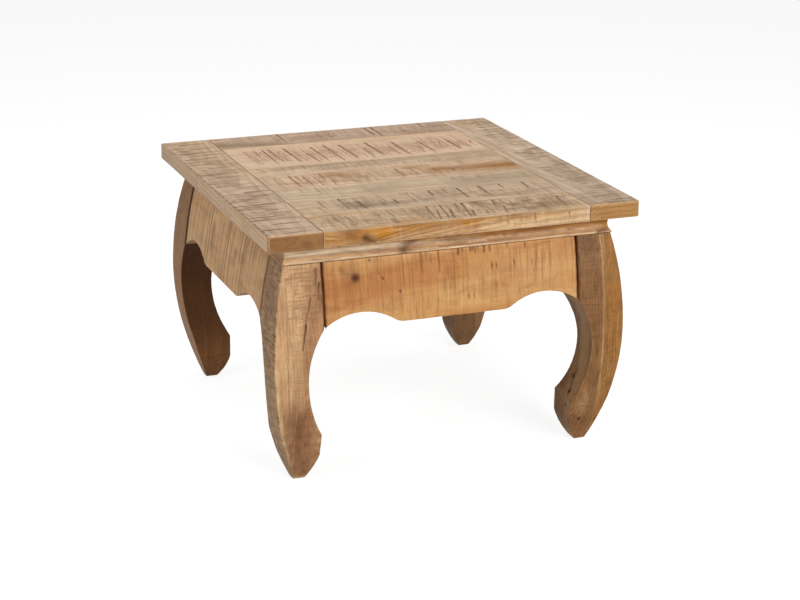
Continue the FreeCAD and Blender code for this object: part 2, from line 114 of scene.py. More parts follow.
class CoffeeTableSizes(bpy.types.PropertyGroup):
    """Sizes of the forms that the pieces are shaped to."""
    bulge_inset: length("Bulge inset", 0.0115, "Inset of the leg's outer curve where it is fullest")
    bulge_height: length("Bulge height", 0.1951, "Height of the fullest point of the leg")
    foot_outer_inset: length("Foot inset", 0.0515, "Inset of the outer edge of the foot")
    foot_size: length("Foot size", 0.021, "Width of the square that the leg stands on")
    leg_inner_inset: length("Leg inner inset", 0.092, "Inset of the leg where it meets the apron")
    toe_height: length("Toe height", 0.042, "Height to which the toe rises from the foot")
    toe_bulge: length("Toe bulge", 0.0025, "How far the toe's curve leaves a straight line")
    hoof_height: length("Hoof height", 0.078, "Height of the top of the hoof")
    hollow_inset: length("Hollow inset", 0.0675, "Inset of the leg's inner curve where it is deepest")
    hollow_height: length("Hollow height", 0.1701, "Height of the deepest point of the inner curve")
    glue_line_inset: length("Glue line inset", 0.048, "Inset of the joint between a leg's two boards")
    outer_arris: length("Outer arris", 0.0042, "Rounding of the leg's outer arris")
    inner_arris: length("Inner arris", 0.0022, "Rounding of the leg's other arrises")
    apron_reveal: length("Apron reveal", 0.0008, "How far the apron stands back from the legs")
    apron_arris: length("Apron arris", 0.0016, "Rounding of the aprons' arrises")
    joint_gap: length("Joint gap", 0.0009, "Gap between the aprons' ends and the legs")
    apron_inner_inset: length("Apron inner inset", 0.052, "Inset of the apron's flat back")
    scallop_run: length("Scallop run", 0.058, "Distance from the leg to the scallop's crest")
    scallop_rise: length("Scallop rise", 0.021, "Height of the scallop's crest above the flat edge")
    scallop_radius: length("Scallop radius", 0.095, "Radius of the scallop")
    return_radius: length("Return radius", 0.031, "Radius of the curve back to the flat edge")
    moulding_lower_edge: length("Moulding lower edge", 0.002, "Height of the flat under the hollow")
    moulding_upper_edge: length("Moulding upper edge", 0.003, "Height of the flat over the hollow")
    moulding_hollow: length("Moulding hollow", 0.0055, "Depth of the hollow")
    top_corner: length("Top corner", 0.0048, "Rounding of the corners of the top")
    board_arris: length("Board arris", 0.0013, "Rounding of the edges of the top")
    joint_arris: length("Joint arris", 0.0004, "Rounding of boards where they meet")
    field_drop: length("Field drop", 0.0003, "How far the field boards lie below the end boards")


class CoffeeTableColours(bpy.types.PropertyGroup):
    """Colours that the woods are mixed from."""
    # The dark stroke colour also serves as painted shade, as on the back right leg's inner faces
    stroke: colour("Saw stroke", srgb(98, 56, 28), "Dark strokes left by the saw")
    # The grey also serves as painted shade on the left moulding
    grey: colour("Grey stain", srgb(132, 112, 84), "Grey weather stains")
    # The pale worn colour also serves as painted highlights along arrises and as painted light on faces
    # that the lamps reach too little
    worn: colour("Worn edge", srgb(234, 196, 146), "Pale wood on worn edges")
    steel: colour("Screw steel", srgb(178, 176, 170), "Zinc on the screws")
    floor: colour("Floor", (0.42, 0.42, 0.42), "The pale floor, as its light falls on the table")
    floor_seen: colour("Floor as seen", (0.3, 0.3, 0.3), "The share of the seen floor that takes shadows")


class CoffeeTableStage(bpy.types.PropertyGroup):
    """The camera's place and the light's strength."""
    lens: bpy.props.FloatProperty(
        name="Lens", description="Focal length for a 36 mm sensor", default=89.01, unit="CAMERA")
    camera_place: bpy.props.FloatVectorProperty(
        name="Camera place", description="Where the camera stands", subtype="TRANSLATION",
        unit="LENGTH", default=(-1.11586, -2.8946, 1.2073))
    camera_heading: bpy.props.FloatProperty(
        name="Heading", description="Turn of the view from Y towards X", subtype="ANGLE",
        default=math.radians(21.47))
    camera_fall: bpy.props.FloatProperty(
        name="Fall", description="Slope of the view below level", subtype="ANGLE",
        default=math.radians(18.25))
    camera_roll: bpy.props.FloatProperty(
        name="Roll", description="Turn of the picture about the view", subtype="ANGLE", default=0.0098)
    key_power: bpy.props.FloatProperty(
        name="Key light", description="Power of the large low light in front", default=88.0, unit="POWER")
    fill_power: bpy.props.FloatProperty(
        name="Fill light", description="Power of the large light at the left", default=37.0, unit="POWER")
    over_power: bpy.props.FloatProperty(
        name="Overhead light", description="Power of the light above the table", default=28.0, unit="POWER")
    sky_strength: bpy.props.FloatProperty(
        name="Sky", description="Strength of the even light from all round", default=0.17, min=0.0)
    floor_glow: bpy.props.FloatProperty(
        name="Floor glow", description="White that the seen floor has of its own", default=0.86, min=0.0)


def sizes():
    return bpy.context.scene.coffee_table_sizes


def colours():
    return bpy.context.scene.coffee_table_colours


# Modelling tools

def deselect_all():
    if bpy.context.mode != "OBJECT":
        bpy.ops.object.mode_set(mode="OBJECT")
    bpy.ops.object.select_all(action="DESELECT")


def make_active(piece):
    deselect_all()
    piece.select_set(True)
    bpy.context.view_layer.objects.active = piece


def name_piece(piece, name):
    piece.name = name
    piece.data.name = name
    return piece


def apply_place():
    """Moves the active piece's place, turn and size into its mesh."""
    bpy.ops.object.transform_apply(location=True, rotation=True, scale=True)


def add_block(name, low, high):
    """A box between two corners, with its place in its mesh."""
    deselect_all()
    low, high = Vector(low), Vector(high)
    bpy.ops.mesh.primitive_cube_add(size=1, location=(low + high) / 2, scale=high - low)
    apply_place()
    return name_piece(bpy.context.object, name)


def copy_of(piece, name):
    """A copy with its own mesh."""
    make_active(piece)
    bpy.ops.object.duplicate(linked=False)
    return name_piece(bpy.context.object, name)


def edit(piece):
    make_active(piece)
    bpy.ops.object.mode_set(mode="EDIT")


def leave_edit():
    bpy.ops.object.mode_set(mode="OBJECT")


def select(piece, kind, chosen):
    """Selects what passes the test, in edit mode: verts, edges or faces."""
    mode = {"verts": "VERT", "edges": "EDGE", "faces": "FACE"}[kind]
    bpy.ops.mesh.select_mode(type=mode)
    bpy.ops.mesh.select_all(action="DESELECT")
    mesh = bmesh.from_edit_mesh(piece.data)
    count = 0
    for item in getattr(mesh, kind):
        if chosen(item):
            item.select_set(True)
            count += 1
    mesh.select_flush_mode()
    bmesh.update_edit_mesh(piece.data)
    return count


def runs_along(edge, axis):
    run = edge.verts[1].co - edge.verts[0].co
    return abs(run[axis]) > 0.8 * run.length


def is_arris(edge, angle=ARRIS_ANGLE):
    return edge.calc_face_angle(0) > angle


def round_edges(piece, chosen, width, segments, clamp=False):
    """Rounds the edges that pass the test, in edit mode."""
    select(piece, "edges", chosen)
    bpy.ops.mesh.bevel(offset=width, segments=segments, profile=0.5, affect="EDGES", clamp_overlap=clamp)


def divide_along(piece, axis, parts):
    """Divides the long edges that run along an axis into equal parts, ten or fewer at a time."""
    while parts > 1:
        share = next(number for number in (10, 9, 8, 7, 6, 5, 4, 3, 2, parts) if parts % number == 0)
        mesh = bmesh.from_edit_mesh(piece.data)
        longest = max(edge.calc_length() for edge in mesh.edges if runs_along(edge, axis))
        select(piece, "edges",
               lambda edge: runs_along(edge, axis) and edge.calc_length() > 0.6 * longest)
        bpy.ops.mesh.subdivide(number_cuts=share - 1)
        parts //= share


def slide(piece, chosen, shift):
    if select(piece, "verts", chosen):
        bpy.ops.transform.translate(value=shift)


def apply_modifiers(piece):
    make_active(piece)
    for modifier in list(piece.modifiers):
        bpy.ops.object.modifier_apply(modifier=modifier.name)


def divide_all(piece, levels):
    """Divides each face in four, as many times over as there are levels."""
    finer = piece.modifiers.new("Finer", "SUBSURF")
    finer.subdivision_type = "SIMPLE"
    finer.levels = finer.render_levels = levels
    apply_modifiers(piece)


# Marks sunk in a surface: how deep, and how long along the grain and wide across it, in metres
Relief = namedtuple("Relief", "depth along across")
BOARD_RELIEF = (Relief(0.0004, 0.0035, 0.045), Relief(0.0005, 0.09, 0.035))
MOULDING_RELIEF = (Relief(0.0003, 0.012, 0.02),)
APRON_RELIEF = (Relief(0.0005, 0.003, 0.06), Relief(0.0008, 0.06, 0.04))
LEG_RELIEF = (Relief(0.0005, 0.0035, 0.05), Relief(0.0009, 0.06, 0.03))
# The clouds reach a little over one, and the surface has to stay under the level it had
CLOUD_LIMIT = 1.3


def roughen(piece, grain, reliefs):
    """Sinks the surface in clouds that are short along the grain or broad, one after the other."""
    for relief in reliefs:
        texture = bpy.data.textures.new("relief", "CLOUDS")
        texture.noise_scale = 1.0
        texture.noise_depth = 2
        deselect_all()
        bpy.ops.object.empty_add(type="PLAIN_AXES", location=(0, 0, 0))
        guide = bpy.context.object
        guide.scale = [relief.along if axis == grain else relief.across for axis in range(3)]
        bpy.context.view_layer.update()
        sunk = piece.modifiers.new("Relief", "DISPLACE")
        sunk.texture = texture
        sunk.texture_coords = "OBJECT"
        sunk.texture_coords_object = guide
        sunk.strength = relief.depth
        sunk.mid_level = CLOUD_LIMIT
        apply_modifiers(piece)
        bpy.data.objects.remove(guide)
        bpy.data.textures.remove(texture)


def smooth_faces(piece):
    make_active(piece)
    bpy.ops.object.shade_smooth_by_angle(angle=math.radians(32))


def face_outwards(piece):
    edit(piece)
    bpy.ops.mesh.select_all(action="SELECT")
    bpy.ops.mesh.normals_make_consistent(inside=False)
    leave_edit()


def turn_piece(piece, turns):
    """Turns a piece that is shaped as the front one about the middle of the table."""
    if turns:
        make_active(piece)
        piece.matrix_world = Matrix.Rotation(math.radians(90 * turns), 4, "Z") @ piece.matrix_world
        apply_place()


def seat(piece, node, material):
    """Puts the finished piece in a node's stead, with its material."""
    piece.data.materials.clear()
    piece.data.materials.append(material)
    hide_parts(node)
    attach(piece, "root")


# Marks painted on the boards

# Layers of marks, one to a colour channel: dark strokes, which also lay painted shade; warm tints, which
# also lay the pale wood of the back left leg's lit faces and part of a painted shadow band under the top;
# grey stains, which also lay painted shade on the left moulding; pale wear, which also lays painted
# highlights on arrises and on the moulding
STROKE_AND_SHADE, WARM_TINT_AND_PAINTED_LIGHT, GREY_STAIN_AND_SHADE, WEAR_AND_HIGHLIGHT = range(4)

# Each face's axis from side to side, its axis upwards, the axis it looks along, and which way
FACES = {
    "top": (0, 1, 2, 1),
    "front": (0, 2, 1, -1),
    "back": (0, 2, 1, 1),
    "left": (1, 2, 0, -1),
    "right": (1, 2, 0, 1),
}

# A mark wavers by this many millimetres, this fast, and loses this share to its end
WAVER = 0.35
WAVER_RATE = 0.31
FADE = 0.3
# Edges of a clear stroke and of a soft patch, as a share of half the width
CLEAR = 0.5
SOFT = 0.9
# A point belongs to a face that it looks out of by this much, and to an arris by these
FACING = 0.35
ARRIS_START = 0.42
ARRIS_RANGE = 0.2


class Mark:
    """A stroke, patch or ring on one face of a piece, given in millimetres along that face."""

    def __init__(self, layer, start, end, width, strength, soft=CLEAR, radius=0.0):
        self.layer = layer
        self.start = np.array(start, float)
        self.run = np.array(end, float) - self.start
        self.half = width / 2
        self.strength = strength
        self.soft = soft
        self.radius = radius

    def amount(self, places):
        """How strongly the mark covers each place, fading from its start to its end."""
        away = places - self.start
        length_squared = max(self.run @ self.run, 1e-9)
        share = np.clip(away @ self.run / length_squared, 0, 1)
        off = away - share[:, None] * self.run
        off[:, 0] += WAVER * np.sin(places[:, 1] * WAVER_RATE + self.start[0])
        distance = np.abs(np.hypot(off[:, 0], off[:, 1]) - self.radius)
        edge = (1 + self.soft - distance / self.half) / (2 * self.soft)
        return self.strength * (1 - FADE * share) * np.clip(edge, 0, 1)


def strokes(*rows, layer=STROKE_AND_SHADE, soft=CLEAR):
    """Marks from rows of start, end, width and strength. An upright one gives its first place once."""
    marks = []
    for row in rows:
        if len(row) == 5:
            across, start, end, width, strength = row
            row = (across, start, across, end, width, strength)
        marks.append(Mark(layer, row[:2], row[2:4], row[4], row[5], soft))
    return marks


def patches(layer, *rows):
    return strokes(*rows, layer=layer, soft=SOFT)


def rings_round(place, width, strength, *radii):
    """Faint soft rings, as of curly grain round a knot."""
    return [Mark(STROKE_AND_SHADE, place, place, width, strength, SOFT, radius) for radius in radii]


def knot(place, size, rings=0):
    """A dark knot with growth rings round it, each fainter than the last."""
    marks = [Mark(STROKE_AND_SHADE, place, place, size, 1.0)]
    for number in range(1, rings + 1):
        marks.append(Mark(
            STROKE_AND_SHADE, place, place, size * 0.22, 0.55 - 0.07 * number, 0.7, size * 0.62 * number))
    return marks


def faint_strokes(low, high, count, upright, reach, seed, strength=0.3, width=2.2, layer=STROKE_AND_SHADE):
    """Many faint strokes scattered over a rectangle of a face."""
    chance = random.Random(seed)
    marks = []
    for _ in range(count):
        start = [chance.uniform(low[0], high[0]), chance.uniform(low[1], high[1])]
        end = list(start)
        end[1 if upright else 0] += chance.uniform(0.4, 1.0) * reach
        marks.append(Mark(
            layer, start, end, width * chance.uniform(0.6, 1.4), strength * chance.uniform(0.4, 1.0)))
    return marks


def paint_marks(piece, faces, arrises=0.4):
    """Lays the marks of each face on the points that look that way, a layer to a colour channel.
    Arrises, whose points look halfway between two faces, are painted pale, partly as wear and partly as a
    painted highlight."""
    mesh = piece.data
    places = np.zeros(len(mesh.vertices) * 3)
    mesh.vertices.foreach_get("co", places)
    places = places.reshape(-1, 3) / MILLIMETRE
    outward = np.zeros(len(mesh.vertices) * 3)
    mesh.vertex_normals.foreach_get("vector", outward)
    outward = outward.reshape(-1, 3)
    layers = np.zeros((len(places), 4), np.float32)
    halfway = np.sort(np.abs(outward), axis=1)[:, 1]
    layers[:, WEAR_AND_HIGHLIGHT] = arrises * np.clip((halfway - ARRIS_START) / ARRIS_RANGE, 0, 1)
    for face, marks in faces.items():
        along, up, depth, side = FACES[face]
        seen = outward[:, depth] * side > FACING
        flat = places[seen][:, (along, up)]
        for mark in marks:
            layers[seen, mark.layer] = np.maximum(layers[seen, mark.layer], mark.amount(flat))
    attribute = mesh.attributes.new("marks", "FLOAT_COLOR", "POINT")
    attribute.data.foreach_set("color", layers.ravel())


# Wood

@dataclass
class Wood:
    """How one kind of wood looks: its colours as on a screen, from 0 to 255, and the strength of
    each part of its figure. The gaps between growth rings and between saw lines are millimetres.
    Without its own stroke and worn colours, it takes the table's."""
    light: tuple
    middle: tuple
    dark: tuple
    warm: tuple = (190, 128, 66)
    rings: float = 0.25
    ring_gap: float = 6.0
    fibres: float = 0.3
    sawn: float = 0.35
    saw_gap: float = 2.2
    bold: float = 0.0
    patches: float = 0.6
    mottled: float = 0.22
    pores: float = 0.12
    roughness: float = 0.62
    rise: float = 0.55
    # A piece's stroke colour also serves for its painted shade, and its worn colour for its painted
    # highlights
    stroke: tuple = None
    worn: tuple = None


# A cloud in the wood: spots to a metre along and across the grain, the range of the noise over
# which it fades in, the noise's own settings, and how much of it is left at the low end
Cloud = namedtuple("Cloud", "along across low high detail roughness distortion least")
PATCHES = Cloud(4, 20, 0.36, 0.66, 3.0, 0.6, 0.5, 0.0)
UNEVEN = Cloud(30, 110, 0.3, 0.6, 3.0, 0.6, 0.0, 0.78)
MOTTLE = Cloud(16, 70, 0.48, 0.72, 4.0, 0.65, 0.4, 0.0)
FIBRES = Cloud(7, 180, 0.44, 0.72, 5.0, 0.7, 0.0, 0.0)
PORES = Cloud(45, 320, 0.52, 0.66, 2.0, 0.6, 0.0, 0.0)
SAW_SHOWN = Cloud(9, 16, 0.36, 0.62, 2.0, 0.5, 0.0, 0.35)
SAW_BITTEN = Cloud(6, 14, 0.45, 0.6, 2.0, 0.5, 0.0, 0.0)
STROKE_BREAKS = Cloud(90, 240, 0.3, 0.6, 3.0, 0.65, 0.0, 0.82)


class Shader:
    """Adds shader nodes to one material and links them by their sockets."""

    def __init__(self, name):
        self.material = bpy.data.materials.new(name)
        self.material.use_nodes = True
        self.tree = self.material.node_tree
        self.surface = self.tree.nodes["Principled BSDF"]

    def add(self, kind, **settings):
        node = self.tree.nodes.new(kind)
        for name, value in settings.items():
            setattr(node, name, value)
        return node

    def feed(self, socket, value):
        if isinstance(value, bpy.types.NodeSocket):
            self.tree.links.new(value, socket)
        else:
            socket.default_value = value

    def math(self, operation, first, second=0.0):
        node = self.add("ShaderNodeMath", operation=operation)
        self.feed(node.inputs[0], first)
        self.feed(node.inputs[1], second)
        return node.outputs[0]

    def times(self, first, second):
        return self.math("MULTIPLY", first, second)

    def vector(self, operation, first, second):
        node = self.add("ShaderNodeVectorMath", operation=operation)
        self.feed(node.inputs[0], first)
        self.feed(node.inputs[1], second)
        return node.outputs[0]

    def fit(self, value, low, high, to_low=0.0, to_high=1.0):
        """Stretches a range of values over another, with soft ends."""
        node = self.add("ShaderNodeMapRange", interpolation_type="SMOOTHSTEP")
        for socket, number in zip(node.inputs, (value, low, high, to_low, to_high)):
            self.feed(socket, number)
        return node.outputs[0]

    def blend(self, share, first, second):
        node = self.add("ShaderNodeMix", data_type="RGBA", clamp_factor=True)
        self.feed(node.inputs[0], share)
        for socket, value in ((node.inputs[6], first), (node.inputs[7], second)):
            self.feed(socket, value if isinstance(value, bpy.types.NodeSocket) else (*value, 1.0))
        return node.outputs[2]

    def noise(self, place, stretch, detail=2.0, roughness=0.5, distortion=0.0):
        """Noise with its own number of spots to a metre along each axis."""
        node = self.add("ShaderNodeTexNoise")
        self.feed(node.inputs["Vector"], self.vector("MULTIPLY", place, stretch))
        node.inputs["Scale"].default_value = 1.0
        node.inputs["Detail"].default_value = detail
        node.inputs["Roughness"].default_value = roughness
        node.inputs["Distortion"].default_value = distortion
        return node.outputs["Fac"]

    def raw_cloud(self, place, cloud):
        stretch = (cloud.along, cloud.across, cloud.across)
        return self.noise(place, stretch, cloud.detail, cloud.roughness, cloud.distortion)

    def cloud(self, place, cloud):
        """The share of a cloud at each place."""
        return self.fit(self.raw_cloud(place, cloud), cloud.low, cloud.high, cloud.least)


GRAIN_FIRST = {0: (0, 1, 2), 1: (1, 0, 2), 2: (2, 0, 1)}


def grain_place(shader, grain, seed):
    """Object coordinates with the first axis along the grain, as they are and moved by an offset."""
    place = shader.add("ShaderNodeTexCoord").outputs["Object"]
    apart = shader.add("ShaderNodeSeparateXYZ")
    shader.feed(apart.inputs[0], place)
    joined = shader.add("ShaderNodeCombineXYZ")
    for socket, axis in zip(joined.inputs, GRAIN_FIRST[grain]):
        shader.feed(socket, apart.outputs[axis])
    chance = random.Random(seed)
    offset = tuple(chance.uniform(-5, 5) for _ in range(3))
    return joined.outputs[0], shader.vector("ADD", joined.outputs[0], offset)


def growth_rings(shader, own, wood, pith, slope):
    """Rings about a pith that leans from the board's length, which cut its faces in long arches."""
    turned = shader.add("ShaderNodeMapping")
    shader.feed(turned.inputs["Vector"], own)
    turned.inputs["Location"].default_value = (0.0, -pith[0], -pith[1])
    turned.inputs["Rotation"].default_value = (0.0, slope, slope * 0.7)
    ring = shader.add("ShaderNodeTexWave", wave_type="RINGS", rings_direction="X", wave_profile="SAW")
    shader.feed(ring.inputs["Vector"], turned.outputs[0])
    # The wave turns through 20 radians to a metre at a scale of one
    ring.inputs["Scale"].default_value = 2 * math.pi / (20 * (wood.ring_gap * MILLIMETRE))
    ring.inputs["Distortion"].default_value = 5.0
    ring.inputs["Detail"].default_value = 4.0
    ring.inputs["Detail Scale"].default_value = 0.25
    return shader.times(shader.fit(ring.outputs["Fac"], 0.3, 1.0), wood.rings)


def wood_material(name, wood, grain, seed, pith, slope):
    """Sawn and oiled wood, with its grain along one axis and its pith beside the board."""
    shader = Shader(name)
    own, place = grain_place(shader, grain, seed)
    light, middle, dark, warm = (srgb(*tone) for tone in (wood.light, wood.middle, wood.dark, wood.warm))
    # The stroke colour paints strokes and painted shade; the worn colour paints wear and painted highlights
    stroke = srgb(*wood.stroke) if wood.stroke else colours().stroke
    worn = srgb(*wood.worn) if wood.worn else colours().worn

    # Body colour in patches, under the tints painted on this piece, which include painted highlights,
    # painted shade and lit faces painted pale
    body = shader.blend(shader.times(shader.cloud(place, PATCHES), wood.patches), light, middle)
    marks = shader.add("ShaderNodeAttribute", attribute_name="marks")
    layers = shader.add("ShaderNodeSeparateColor")
    shader.feed(layers.inputs[0], marks.outputs["Color"])
    painted, warmed, greyed = layers.outputs
    uneven = shader.cloud(place, UNEVEN)
    for layer, tint in ((warmed, warm), (greyed, colours().grey), (marks.outputs["Alpha"], worn)):
        body = shader.blend(shader.times(layer, uneven), body, tint)
    body = shader.blend(shader.times(shader.cloud(place, MOTTLE), wood.mottled), body, dark)

    # Growth rings, fibres and pores, with paler wood between the pores
    body = shader.blend(growth_rings(shader, own, wood, pith, slope), body, dark)
    fibres = shader.raw_cloud(place, FIBRES)
    body = shader.blend(shader.times(shader.fit(fibres, FIBRES.low, FIBRES.high), wood.fibres), body, dark)
    pores = shader.raw_cloud(place, PORES)
    body = shader.blend(shader.times(shader.fit(pores, PORES.low, PORES.high), wood.pores), body, dark)
    body = shader.blend(shader.times(shader.fit(pores, 0.48, 0.34), 0.7 * wood.pores), body, light)

    # Saw lines across the grain, which come and go, with paler wood between them
    lines_to_metre = 1 / (wood.saw_gap * MILLIMETRE)
    bent = shader.add("ShaderNodeCombineXYZ")
    shader.feed(bent.inputs[0], shader.times(shader.noise(place, (3, 24, 24)), 0.006))
    sway = shader.vector("ADD", place, bent.outputs[0])
    fine = shader.noise(sway, (lines_to_metre, 12, 12), 3.0, 0.65)
    broad = shader.noise(sway, (lines_to_metre * 0.22, 7, 7), 2.0, 0.5)
    lines = shader.math("ADD", shader.times(fine, 0.55), shader.times(broad, 0.45))
    shown = shader.times(shader.cloud(place, SAW_SHOWN), shader.fit(warmed, 0.0, 0.7, 1.0, 0.1))
    tone = shader.times(shader.times(shader.fit(lines, 0.48, 0.64), shown), wood.sawn)
    body = shader.blend(tone, body, dark)
    body = shader.blend(shader.times(shader.fit(lines, 0.48, 0.36), 0.45 * wood.sawn), body, light)

    # Bolder strokes where the saw bit deeper, and the strokes and painted shade marked on this piece
    teeth = shader.fit(shader.noise(sway, (lines_to_metre * 0.4, 16, 16), 1.0, 0.5), 0.56, 0.66)
    bold = shader.times(shader.times(teeth, shader.cloud(place, SAW_BITTEN)), wood.bold)
    bold = shader.times(bold, shown)
    body = shader.blend(bold, body, stroke)
    bite = shader.times(painted, shader.cloud(place, STROKE_BREAKS))
    body = shader.blend(bite, body, stroke)
    shader.feed(shader.surface.inputs["Base Color"], body)

    # Sheen and relief, which fine saw lines and strokes sink
    dull = shader.times(fibres, 0.2)
    shader.feed(shader.surface.inputs["Roughness"], shader.math("ADD", dull, wood.roughness - 0.1))
    shader.surface.inputs["Specular IOR Level"].default_value = 0.2
    height = shader.times(fibres, wood.fibres)
    for sunk, depth in ((fine, 0.3 + wood.sawn), (bold, 0.6), (bite, 0.7)):
        height = shader.math("SUBTRACT", height, shader.times(sunk, depth))
    bump = shader.add("ShaderNodeBump")
    bump.inputs["Strength"].default_value = wood.rise
    bump.inputs["Distance"].default_value = 0.0012
    shader.feed(bump.inputs["Height"], height)
    shader.feed(shader.surface.inputs["Normal"], bump.outputs[0])
    return shader.material


def steel_material():
    """Dull zinc with fine scratches, for the screws."""
    shader = Shader("screw_zinc")
    place = shader.add("ShaderNodeTexCoord").outputs["Object"]
    cloud = shader.noise(place, (900, 900, 900), 3.0)
    tarnish = shader.blend(shader.fit(cloud, 0.4, 0.7), colours().steel, srgb(128, 122, 112))
    shader.feed(shader.surface.inputs["Base Color"], tarnish)
    shader.surface.inputs["Metallic"].default_value = 1.0
    shader.feed(shader.surface.inputs["Roughness"], shader.fit(cloud, 0.2, 0.8, 0.35, 0.6))
    return shader.material


# Top

FIELD_WOODS = {
    1: Wood(
        (222, 192, 158), (202, 170, 135), (120, 86, 54), warm=(198, 130, 34), sawn=0.4, bold=0.3,
        saw_gap=2.6, stroke=(84, 50, 28)),
    2: Wood(
        (218, 192, 162), (196, 168, 136), (128, 98, 70), warm=(196, 158, 106), sawn=0.35, bold=0.15,
        stroke=(92, 62, 42)),
    3: Wood((218, 194, 164), (200, 174, 144), (144, 120, 94), sawn=0.28, bold=0.1, stroke=(110, 80, 56)),
    4: Wood(
        (230, 201, 170), (210, 179, 147), (140, 98, 60), warm=(166, 112, 54), sawn=0.35, bold=0.15,
        stroke=(136, 80, 42)),
    5: Wood(
        (226, 200, 170), (206, 176, 144), (140, 108, 78), sawn=0.35, bold=0.15, fibres=0.35,
        stroke=(116, 72, 42)),
    6: Wood((234, 204, 174), (220, 188, 158), (156, 112, 78), sawn=0.25, rings=0.12, stroke=(128, 66, 30)),
    7: Wood(
        (218, 190, 164), (200, 168, 142), (138, 102, 74), warm=(160, 132, 98), sawn=0.3, bold=0.1,
        stroke=(100, 62, 38)),
}
